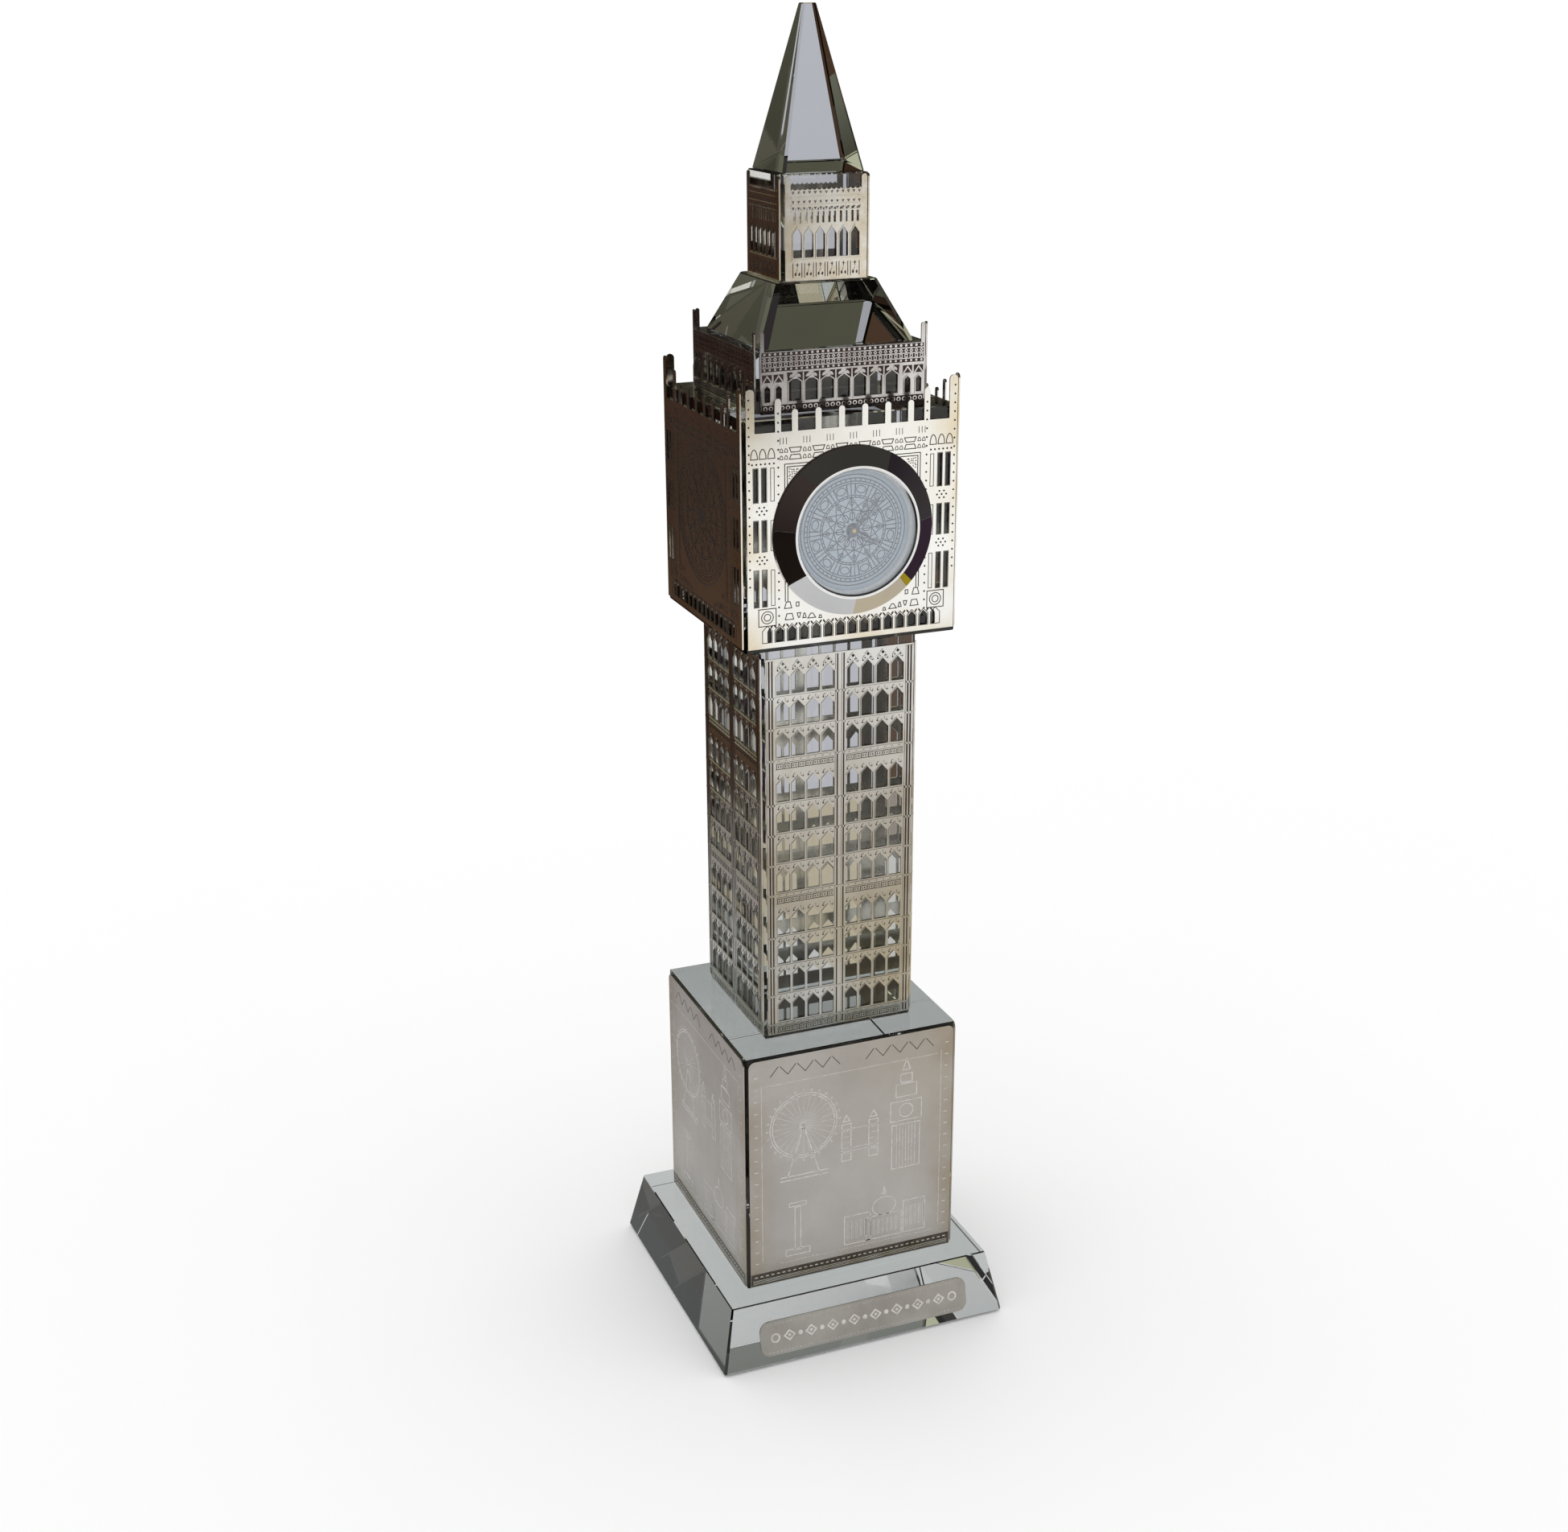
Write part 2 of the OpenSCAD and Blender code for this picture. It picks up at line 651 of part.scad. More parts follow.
// A wheel and its pinion on one arbor: wheel at wheel_z, pinion up to the pinion_top
module wheel_and_pinion(at, teeth, wheel_z, wheel_turn, pinion_z, pinion_l, pinion_turn, top) {
  translate([at[0], at[1], 0]) {
    translate([0, 0, wheel_z]) linear_extrude(wheel_t) gear_drawing(teeth, train_module, wheel_turn);
    translate([0, 0, pinion_z]) linear_extrude(pinion_l)
      gear_drawing(pinion_teeth, train_module, pinion_turn);
    disc(0.13, bridge_front - 0.3, top);
    disc(0.22, wheel_z, pinion_z + pinion_l);
  }
}

// The turn that puts a gap of the driven gear on the line towards its partner
function facing(angle, teeth) = angle + 180 + 180 / teeth;

module centre_wheel() {
  color([0.8, 0.66, 0.35]) in_clock() {
    translate([0, 0, level_a]) linear_extrude(wheel_t)
      gear_drawing(centre_teeth, train_module, third_angle);
    disc(arbor_r, bridge_front - 0.3, level_a + eps);
    disc(cannon_r, level_a, minute_hand_z + hand_t + 0.12);
    translate([0, 0, plate_front + seat]) linear_extrude(0.42)
      gear_drawing(cannon_teeth, motion_module, -90);
  }
}

module third_wheel() {
  color([0.8, 0.66, 0.35]) in_clock()
    wheel_and_pinion(third_at, third_teeth, level_b, between_angle, level_b + wheel_t - eps,
      0.62, facing(third_angle, pinion_teeth), plate_back + 0.4);
}

module intermediate_wheel() {
  color([0.8, 0.66, 0.35]) in_clock()
    wheel_and_pinion(between_at, between_teeth, level_c, rotor_angle, level_c + wheel_t - eps,
      0.55, facing(between_angle, pinion_teeth), plate_back + 0.4);
}

module rotor() {
  color([0.45, 0.45, 0.47]) in_clock() {
    translate([rotor_at[0], rotor_at[1], level_c - 0.04]) linear_extrude(0.4)
      gear_drawing(pinion_teeth, train_module, facing(rotor_angle, pinion_teeth));
    disc(0.13, bridge_front - 0.3, plate_back + 0.4, rotor_at);
    disc(0.3, level_c, level_b + 0.2, rotor_at);
    disc(magnet_r, level_b + 0.15, level_b + 0.15 + magnet_t, rotor_at);
  }
}

module minute_wheel() {
  color([0.8, 0.66, 0.35]) in_clock() translate([minute_wheel_at[0], minute_wheel_at[1], 0]) {
    translate([0, 0, plate_front + seat]) linear_extrude(wheel_t)
      gear_drawing(minute_teeth, motion_module, facing(-90, minute_teeth));
    translate([0, 0, plate_front + seat + wheel_t - eps]) linear_extrude(0.5)
      gear_drawing(pinion_teeth, motion_module, 90);
    disc(0.15, plate_front - 0.4, plate_front + seat + 0.1);
  }
}

module hour_wheel() {
  z0 = plate_front + 0.52;
  color([0.8, 0.66, 0.35]) in_clock() difference() {
    union() {
      translate([0, 0, z0]) linear_extrude(wheel_t)
        gear_drawing(hour_teeth, motion_module, -90 + 180 / hour_teeth);
      disc(pipe_r, z0, hour_hand_z + hand_t + 0.08);
    }
    disc(cannon_r + pivot_clearance, z0 - 1, hour_hand_z + 2);
  }
}

module train_bridge() {
  arm_r = 1.1;
  color([0.72, 0.72, 0.7]) in_clock() difference() {
    translate([0, 0, bridge_front - bridge_t]) linear_extrude(bridge_t) union() {
      hull() for (p = [[0, 0], third_at]) translate(p) circle(arm_r, $fn = 32);
      hull() for (p = [third_at, between_at, rotor_at]) translate(p) circle(arm_r, $fn = 32);
      hull() for (p = [[0, 0], [2.4, -6.4]]) translate(p) circle(arm_r, $fn = 32);
      hull() for (p = [third_at, [-1.2, 7.6]]) translate(p) circle(arm_r, $fn = 32);
      hull() for (p = [between_at, [5.3, 6.1]]) translate(p) circle(arm_r, $fn = 32);
    }
    disc(arbor_r + pivot_clearance, bridge_front - 1, bridge_front + 1);
    for (p = [third_at, between_at, rotor_at])
      disc(0.13 + pivot_clearance, bridge_front - 1, bridge_front + 1, p);
    for (p = bridge_posts) disc(0.45, bridge_front - 1, bridge_front + 1, p);
  }
}

bridge_posts = [[2.4, -6.4], [-1.2, 7.6], [5.3, 6.1]];

// Three pillars with slotted screw heads, which carry the bridge on the main plate
module bridge_screws() {
  color([0.6, 0.6, 0.62]) in_clock() for (p = bridge_posts) difference() {
    union() {
      disc(0.41, bridge_front - bridge_t, plate_back - 0.02, p);
      disc(0.75, bridge_front - bridge_t - 0.4, bridge_front - bridge_t - 0.02, p);
      disc(0.41, bridge_front - bridge_t - 0.1, bridge_front - bridge_t + 0.1, p);
    }
    translate([p[0] - 1, p[1] - 0.1, bridge_front - bridge_t - 0.6]) cube([2, 0.2, 0.35]);
  }
}

module circuit_board() {
  color([0.1, 0.35, 0.2]) in_clock() {
    translate([0, 0, plate_back - 0.45]) linear_extrude(0.4)
      polygon([[-9.2, 0.6], [-4, 0.6], [-4, 3.6], [-2.6, 5.4], [-3.4, 8.6], [-6.6, 7.4], [-8.6, 4.4]]);
    disc(1.1, plate_back - 0.95, plate_back - 0.44, [-5.4, 2.4]);
  }
}

module quartz_can() {
  color([0.75, 0.75, 0.77]) in_clock() translate([-4.3, 7.1, plate_back - 1.3]) rotate([0, 0, 215])
    rotate([0, 90, 0]) cylinder(r = 0.75, h = 4.6);
}

// The iron core of the coil, with a lug at each end that meets the stator
module coil_core() {
  color([0.55, 0.55, 0.57]) in_clock() translate([coil_x, coil_y, coil_z]) {
    rotate([90, 0, 0]) cylinder(r = core_r, h = coil_l + 2 * lug_l, center = true);
    for (y = [-1, 1]) translate([-core_r, y * (coil_l + lug_l) / 2 - lug_l / 2, 0])
      cube([2 * core_r, lug_l, stator_z - coil_z - seat]);
  }
}

module coil_winding() {
  color([0.72, 0.38, 0.2]) in_clock() translate([coil_x, coil_y, coil_z]) rotate([90, 0, 0])
    difference() {
      cylinder(r = coil_r, h = coil_l - 0.1, center = true);
      cylinder(r = core_r + 0.02, h = coil_l + 1, center = true);
    }
}

// Two iron arms that carry the coil's flux to the ring round the rotor's magnet
module stator() {
  elbow = [5.4, -1.2];
  arm_r = 0.5;
  ends = [for (y = [-1, 1]) [coil_x, coil_y + y * (coil_l + lug_l) / 2]];
  color([0.6, 0.6, 0.63]) in_clock() difference() {
    translate([0, 0, stator_z]) linear_extrude(stator_t) {
      translate(rotor_at) circle(stator_ring_r);
      hull() for (p = [rotor_at, ends[1]]) translate(p) circle(arm_r, $fn = 24);
      hull() for (p = [rotor_at, elbow]) translate(p) circle(arm_r, $fn = 24);
      hull() for (p = [elbow, ends[0]]) translate(p) circle(arm_r, $fn = 24);
    }
    disc(magnet_r + 0.2, stator_z - 1, stator_z + 1, rotor_at);
    disc(0.8, stator_z - 1, stator_z + 1, between_at);
  }
}

module setting_lever() {
  color([0.6, 0.6, 0.62]) in_clock() {
    translate([groove_x - 0.5, -2.6, plate_back - 0.3]) cube([groove_l + 0.5, 3, 0.24]);
    translate([groove_x + 0.06, -0.22, plate_back - 0.1]) cube([groove_l - 0.12, 0.44, 0.3]);
  }
}

module setting_stem() {
  color([0.6, 0.6, 0.62]) in_clock() difference() {
    translate([5.4, 0, 0]) stem_passage(stem_r, crown_x + 0.4 - 5.4);
    translate([groove_x, 0, 0]) difference() {
      stem_passage(1, groove_l);
      translate([-1, 0, 0]) stem_passage(0.24, groove_l + 2);
    }
  }
}

module setting_crown() {
  color([0.7, 0.7, 0.72]) in_clock() difference() {
    translate([crown_x, 0, stem_z]) rotate([0, 90, 0]) linear_extrude(crown_l)
      gear_drawing(20, crown_r / 10.5);
    translate([crown_x - 1, 0, 0]) stem_passage(stem_r + 0.01, 1.42);
  }
}

module battery() {
  color([0.8, 0.8, 0.8]) in_clock() {
    disc(cell_r, cell_z + 0.3, cell_z + cell_t, cell_at);
    disc(cell_r - 0.5, cell_z, cell_z + 0.3 + eps, cell_at);
  }
}

module battery_contact() {
  color([0.75, 0.65, 0.35]) in_clock() {
    translate([cell_at[0], cell_at[1], cell_z - 0.24]) rotate([0, 0, 60])
      translate([-3, -0.7, 0]) cube([7.2, 1.4, 0.2]);
    translate([cell_at[0], cell_at[1], cell_z - 0.24]) rotate([0, 0, 60])
      translate([4, -0.7, 0]) cube([0.2, 1.4, plate_back - cell_z + 0.2]);
  }
}

module back_cover() {
  color([0.2, 0.2, 0.21]) in_clock() difference() {
    union() {
      disc(cup_r, -cup_depth - 0.75, -cup_depth - seat);
      tube(cup_in_r - seat, cup_in_r - 1, -cup_depth - eps - seat, -cup_depth + 1);
    }
    translate([-5, -0.5, -cup_depth - 1.2]) cube([10, 1, 0.75]);
  }
}

plinth_glass();
pedestal_block();
shaft_block();
clock_block();
belfry_block();
roof_glass();
lantern_block();
spire_glass();
name_plaque();
pedestal_plate("front");  // pedestal_plate_front
pedestal_plate("right");  // pedestal_plate_right
pedestal_plate("back");  // pedestal_plate_back
pedestal_plate("left");  // pedestal_plate_left
shaft_plate("front");  // shaft_plate_front
shaft_plate("right");  // shaft_plate_right
shaft_plate("back");  // shaft_plate_back
shaft_plate("left");  // shaft_plate_left
clock_plate("front");  // clock_plate_front
clock_plate("right");  // clock_plate_right
clock_plate("back");  // clock_plate_back
clock_plate("left");  // clock_plate_left
belfry_plate("front");  // belfry_plate_front
belfry_plate("right");  // belfry_plate_right
belfry_plate("back");  // belfry_plate_back
belfry_plate("left");  // belfry_plate_left
lantern_plate("front");  // lantern_plate_front
lantern_plate("right");  // lantern_plate_right
lantern_plate("back");  // lantern_plate_back
lantern_plate("left");  // lantern_plate_left
bezel();
lens_ring();
lens();
lens_gasket();
dial();
hour_hand();
minute_hand();
movement_cup();
friction_ring();
movement_holder();
main_plate();
train_bridge();
bridge_screws();
circuit_board();
quartz_can();
coil_core();
coil_winding();
stator();
rotor();
intermediate_wheel();
third_wheel();
centre_wheel();
minute_wheel();
hour_wheel();
setting_lever();
setting_stem();
setting_crown();
battery();
battery_contact();
back_cover();
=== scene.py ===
# %% [markdown]
# A souvenir clock tower, about 30 cm tall. Polished blocks of clear glass are
# bonded one on the other, thin etched and pierced plates of nickel silver are
# stuck to their faces, and a small quartz clock is pressed into the front.
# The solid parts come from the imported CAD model. This script gives them their
# finishes, and adds the fine work that an etcher leaves on the plates: raised
# mouldings, dark etched lines, and the printed tracery of the dial.

# %% Load the tower
import math
import random

import bpy
from mathutils import Matrix, Vector
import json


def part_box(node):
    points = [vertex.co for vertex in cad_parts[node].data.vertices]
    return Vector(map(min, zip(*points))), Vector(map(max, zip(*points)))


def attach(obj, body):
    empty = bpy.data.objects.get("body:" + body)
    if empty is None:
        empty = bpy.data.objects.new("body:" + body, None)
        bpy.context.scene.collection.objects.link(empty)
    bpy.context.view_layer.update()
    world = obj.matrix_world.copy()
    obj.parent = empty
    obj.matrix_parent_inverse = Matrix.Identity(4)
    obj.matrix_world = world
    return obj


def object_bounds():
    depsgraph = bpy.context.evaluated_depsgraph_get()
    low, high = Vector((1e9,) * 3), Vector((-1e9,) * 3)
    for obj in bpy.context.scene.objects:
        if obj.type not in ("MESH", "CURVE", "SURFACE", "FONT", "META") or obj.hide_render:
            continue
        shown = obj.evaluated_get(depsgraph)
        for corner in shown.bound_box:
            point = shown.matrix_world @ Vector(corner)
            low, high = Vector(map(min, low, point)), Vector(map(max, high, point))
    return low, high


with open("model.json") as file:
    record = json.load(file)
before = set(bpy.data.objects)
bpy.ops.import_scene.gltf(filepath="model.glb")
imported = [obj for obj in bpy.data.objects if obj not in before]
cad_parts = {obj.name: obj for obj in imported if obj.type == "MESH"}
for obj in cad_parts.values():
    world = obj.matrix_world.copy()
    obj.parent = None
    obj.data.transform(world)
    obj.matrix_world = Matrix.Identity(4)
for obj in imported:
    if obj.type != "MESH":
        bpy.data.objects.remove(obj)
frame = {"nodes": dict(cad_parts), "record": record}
nodes = frame["nodes"]
MM = 0.001
SIDES = ["front", "right", "back", "left"]
cad_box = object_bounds()
tower_height = cad_box[1].z - cad_box[0].z
print(f"{len(nodes)} CAD nodes, {tower_height / MM:.1f} mm tall")

# %% [markdown]
# The camera stands a little to the left of the front and looks down on the
# tower by twenty degrees. A camera is placed from an angle round the object,
# a height and a distance, which is easier to reason about than raw numbers:
# three unit vectors (right, up and back) make its rotation.

# %% The camera
AZIMUTH, ELEVATION, ROLL = (math.radians(a) for a in (21.73, 19.87, -0.3))
DISTANCE, AIM_HEIGHT, AIM_ASIDE = 508.3 * MM, 136.0 * MM, -5.7 * MM
LENS, SENSOR = 49.6, 36.0

back = Vector((-math.sin(AZIMUTH) * math.cos(ELEVATION),
               -math.cos(AZIMUTH) * math.cos(ELEVATION),
               math.sin(ELEVATION)))
level = back.cross(Vector((0, 0, -1))).normalized()
upward = back.cross(level)
right = level * math.cos(ROLL) + upward * math.sin(ROLL)
up = upward * math.cos(ROLL) - level * math.sin(ROLL)

bpy.ops.object.camera_add()
camera = bpy.context.object
camera.name = "camera"
camera.data.lens, camera.data.sensor_width = LENS, SENSOR
camera.data.clip_start, camera.data.clip_end = 0.01, 20
place = Vector((0, 0, AIM_HEIGHT)) + level * AIM_ASIDE + back * DISTANCE
camera.matrix_world = Matrix.Translation(place) @ Matrix(
    (right, up, back)).transposed().to_4x4()
bpy.context.scene.camera = camera
print("camera at", [round(c / MM) for c in camera.location], "mm")

# %% [markdown]
# A few helpers serve every finish. Colours are written as sRGB hex codes, the
# way a paint chart gives them, but a shader works in linear light, so one
# function converts them. The other adds a shader node, sets it up and feeds
# its sockets, from plain values or from other nodes.

# %% Colours and nodes


def paint(code, alpha=1.0):
    """An sRGB hex code as a linear colour."""
    parts = [int(code[i:i + 2], 16) / 255 for i in (0, 2, 4)]
    return [c / 12.92 if c <= 0.04045 else ((c + 0.055) / 1.055) ** 2.4
            for c in parts] + [alpha]


def add(tree, kind, feeds=None, out=0, **settings):
    """Adds one shader node and returns one of its outputs."""
    made = tree.nodes.new("ShaderNode" + kind)
    for name, value in settings.items():
        setattr(made, name, value)
    for name, value in (feeds or {}).items():
        if isinstance(value, bpy.types.NodeSocket):
            tree.links.new(value, made.inputs[name])
        else:
            made.inputs[name].default_value = value
    return made.outputs[out]


def new_finish(name):
    """An empty material: its node tree, and its object coordinates."""
    finish = bpy.data.materials.new(name)
    finish.use_nodes = True
    finish.node_tree.nodes.clear()
    where = add(finish.node_tree, "TexCoord", out="Object")
    return finish, finish.node_tree, where


def output(tree, shader):
    """Ends a material in its surface output."""
    surface = tree.nodes.new("ShaderNodeOutputMaterial")
    tree.links.new(shader, surface.inputs["Surface"])


print("helpers ready")

# %% [markdown]
# The floor is plain and pale, and the world lights it evenly, as under a big
# diffusing tent. Polished metal and glass show only what stands round them,
# though, so the studio also has card walls, as a photographer sets round
# jewellery: a bright table in front, darker cards at the sides and above.
# The cards are seen in reflections and through the glass, and nowhere else.

# %% The floor and the light


def card_finish(name, near, far):
    """A card's even shine, blending from one colour to another along its Y."""
    finish, tree, where = new_finish(name)
    across = add(tree, "SeparateXYZ", {"Vector": where}, out="Y")
    share = add(tree, "MapRange", {"Value": across, "From Min": -0.5,
                                   "From Max": 0.5},
                interpolation_type="SMOOTHSTEP")
    colour = add(tree, "Mix", {0: share, 6: paint(near), 7: paint(far)},
                 out=2, data_type="RGBA")
    output(tree, add(tree, "Emission", {"Color": colour}))
    return finish


bpy.ops.mesh.primitive_plane_add(size=60, location=(0, 0, -0.6 * MM))
floor = bpy.context.object
floor.name = "studio_floor"
pale, tree, _ = new_finish("matt white paper")
output(tree, add(tree, "BsdfPrincipled",
                 {"Base Color": paint("F6F6F6"), "Roughness": 0.9,
                  "Specular IOR Level": 0.1}))
floor.data.materials.append(pale)

TENT_LIGHT = 1.1
world = bpy.data.worlds.new("diffusing tent")
world.use_nodes = True
tent = world.node_tree.nodes["Background"]
tent.inputs["Color"].default_value = paint("FFFFFF")
tent.inputs["Strength"].default_value = TENT_LIGHT
bpy.context.scene.world = world
bpy.context.scene.view_settings.view_transform = "Standard"
print("floor and tent are up, tent light", TENT_LIGHT)

# %% [markdown]
# A card could be lit by lamps, as a real one is, but then its tone would
# depend on all of them. Here each card is a plane that shines by itself, in a
# colour that a table top, a wall or a window gives. A flat plate mirrors only
# one patch of the room, so each card is placed where one set of plates, one
# face of the glass or one sector of the chrome ring looks. Places and sizes
# are in millimetres, and a card that covers another is a little nearer.

# %% The cards


def card(name, near, far, size, at, turn=(0, 0, 0)):
    """One card of the studio, seen only by reflections and through glass."""
    bpy.ops.mesh.primitive_plane_add(
        size=1, location=[c * MM for c in at],
        rotation=[math.radians(a) for a in turn])
    board = bpy.context.object
    board.name = name
    board.scale = (size[0] * MM, size[1] * MM, 1)
    board.data.materials.append(card_finish(name, near, far))
    board.visible_camera = False
    board.visible_diffuse = False
    board.visible_shadow = False


# the table, in patches: dark all over, then lighter where a plate looks down
card("table_all", "1A1512", "241C17", (2200, 2200), (0, 0, -0.4))
card("table_near", "CBCBC9", "BEBEBC", (175, 590), (-12, 40, -0.1))
card("table_near_right", "C0B59C", "B5AB96", (165, 590), (150, 40, -0.12))
card("under_foot", "BEC1C1", "C8CACA", (90, 90), (0, 0, -0.05))
card("behind_foot", "6A6A5E", "58584E", (110, 60), (30, 80, -0.06))
card("table_near_left", "A8A09A", "8E8680", (140, 330), (-165, 155, -0.15))
card("table_front", "FFFFFD", "C0B8AC", (880, 440), (340, -445, -0.2))
card("table_far_front", "FFFBF2", "FFFFFD", (1000, 470), (400, -880, -0.2))
card("table_back_left", "4E3A2C", "35271F", (700, 800), (-450, 700, -0.25))
card("table_back_right", "B8B9C0", "C2C3CC", (1160, 900), (540, 760, -0.2))
card("olive_slip", "3A382E", "66685A", (60, 100), (-145, 480, -0.22))
card("table_right", "3A2C38", "2A2028", (870, 800), (665, 0, -0.3))
card("yellow_slip", "8A7A20", "B09A28", (26, 90), (246, -40, -0.05))
# the walls and the ceiling, with one bright panel low in front
WALL, WALL_H = 2200, 900
UPRIGHT, SIDEWAYS = (90, 0, 0), (90, 0, 90)
card("wall_left", "4A4A3E", "26261F", (WALL, WALL_H), (-1100, 0, 450), SIDEWAYS)
card("wall_right", "3C3838", "2A2428", (WALL, WALL_H), (1100, 0, 450), SIDEWAYS)
card("wall_back", "B4B5BC", "A6A7AE", (WALL, 260), (0, 1099, 130), UPRIGHT)
card("wall_back_top", "5E5E4E", "3C3C32", (WALL, WALL_H), (0, 1100, 450), UPRIGHT)
card("wall_back_left", "3A281E", "1E1612", (900, 600), (-650, 1090, 300), UPRIGHT)
card("wall_front", "2E2623", "3C3430", (WALL, WALL_H), (0, -1100, 450), UPRIGHT)
card("wall_back_left_top", "9A987E", "C2C4AA", (900, 260), (-650, 1085, 500), UPRIGHT)
card("panel_front", "FFFEFA", "F8F6F2", (590, 216), (715, -1090, 108), UPRIGHT)
card("panel_high", "8E9292", "6E706A", (700, 330), (520, 1085, 720), UPRIGHT)
card("ceiling", "3A3833", "2C2A27", (WALL, WALL), (0, 0, 900))
card("lamp_strip", "F2F2F2", "F2F2F2", (300, 500), (-350, 500, 880))
print("cards placed")

# %% [markdown]
# The blocks are optical glass, cast, sawn and polished. What tells the eye is
# almost only what stands round it, with a trace of handling on the faces. The
# clock's own little window is so thin that it bends nothing, so it is made by
# transparency: light then reaches the dial as it would through a real pane.

# %% Glass


def polished_glass(name, shade, smear):
    """Clear glass, with faint smears about as wide as a fingertip."""
    finish, tree, where = new_finish(name)
    touch = add(tree, "TexNoise", {"Vector": where, "Scale": 1 / (smear * MM),
                                   "Detail": 3.0})
    haze = add(tree, "MapRange", {"Value": touch, "From Min": 0.5,
                                  "From Max": 0.8, "To Min": 0.0,
                                  "To Max": 0.06})
    output(tree, add(tree, "BsdfPrincipled",
                     {"Base Color": paint(shade), "Roughness": haze,
                      "IOR": 1.52, "Transmission Weight": 1.0}))
    return finish


def window_pane(name, shade, clearness):
    """A thin flat pane: mostly see-through, with a soft gloss."""
    finish, tree, where = new_finish(name)
    dust = add(tree, "TexNoise", {"Vector": where, "Scale": 1 / (0.8 * MM)})
    film = add(tree, "MapRange", {"Value": dust, "To Min": 1 - clearness,
                                  "To Max": 1.15 - clearness})
    output(tree, add(tree, "BsdfPrincipled",
                     {"Base Color": paint(shade), "Roughness": 0.05,
                      "IOR": 1.52, "Alpha": film}))
    return finish


finishes = {
    # heavy and clear: the eye sees the room bent through it, and soft smears
    "crystal_glass": polished_glass("polished optical glass", "F7F9F8", 12),
    # the dial shows through it, a little cooler, with one soft gloss on top
    "lens_mineral": window_pane("mineral glass pane", "E4EAF0", 0.93),
}
print("glass finishes:", len(finishes))

# %% [markdown]
# All the metals are made by one function, because they differ only in colour
# and in how they were finished. Two close tones drift into each other in
# patches, polishing leaves fine uneven roughness, and sheet that is handled
# tarnishes from its edges inwards. Patches and grain are far apart in size, so
# one noise texture makes each. The true grain is finer than a hair and would
# not show at all, so it is drawn at about 0.1 to 0.4 mm.

# %% Metals


def toward_edges(tree, where, half, width, foot):
    """0 in the middle of an upright plate, 1 at its sides and its foot."""
    place = add(tree, "SeparateXYZ", {"Vector": where}, out="X")
    axes = place.node.outputs
    aside = add(tree, "Math", {
        0: add(tree, "Math", {0: axes["X"]}, operation="ABSOLUTE"),
        1: add(tree, "Math", {0: axes["Y"]}, operation="ABSOLUTE")},
        operation="MINIMUM")
    side = add(tree, "MapRange", {"Value": aside, "From Min": (half - width) * MM,
                                  "From Max": half * MM})
    low_down = add(tree, "MapRange", {
        "Value": axes["Z"], "From Min": (foot + width) * MM,
        "From Max": foot * MM})
    return add(tree, "Math", {0: side, 1: low_down}, operation="MAXIMUM")


TARNISH_WIDTH = 7.0         # mm in from a plate's edge, as far as fingers reach


def metal(name, bright, dull, patch, roughness, tarnish=None, plate=None,
          relief=0.0, grain=0.25):
    """A metal in two drifting tones. patch and grain are in millimetres;
    plate names a plate whose edges show where the tarnish sits."""
    finish, tree, where = new_finish(name)
    drift = add(tree, "TexNoise", {"Vector": where, "Scale": 1 / (patch * MM),
                                   "Detail": 4.0})
    share = add(tree, "MapRange", {"Value": drift, "From Min": 0.35,
                                   "From Max": 0.7})
    tone = add(tree, "Mix", {0: share, 6: paint(bright), 7: paint(dull)},
               out=2, data_type="RGBA")
    if tarnish:
        low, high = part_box(plate)
        edge = toward_edges(tree, where, high.x / MM, TARNISH_WIDTH, low.z / MM)
        uneven = add(tree, "Math", {0: edge, 1: share}, operation="MULTIPLY")
        tone = add(tree, "Mix", {0: uneven, 6: tone, 7: paint(tarnish)},
                   out=2, data_type="RGBA")
    fine = add(tree, "TexNoise", {"Vector": where, "Scale": 1 / (grain * MM),
                                  "Detail": 2.0})
    sheen = add(tree, "MapRange", {"Value": fine, "To Min": roughness * 0.7,
                                   "To Max": roughness * 1.3})
    feeds = {"Base Color": tone, "Metallic": 1.0, "Roughness": sheen}
    if relief:
        feeds["Normal"] = add(tree, "Bump", {
            "Height": fine, "Strength": relief, "Distance": 0.02 * MM})
    output(tree, add(tree, "BsdfPrincipled", feeds))
    return finish


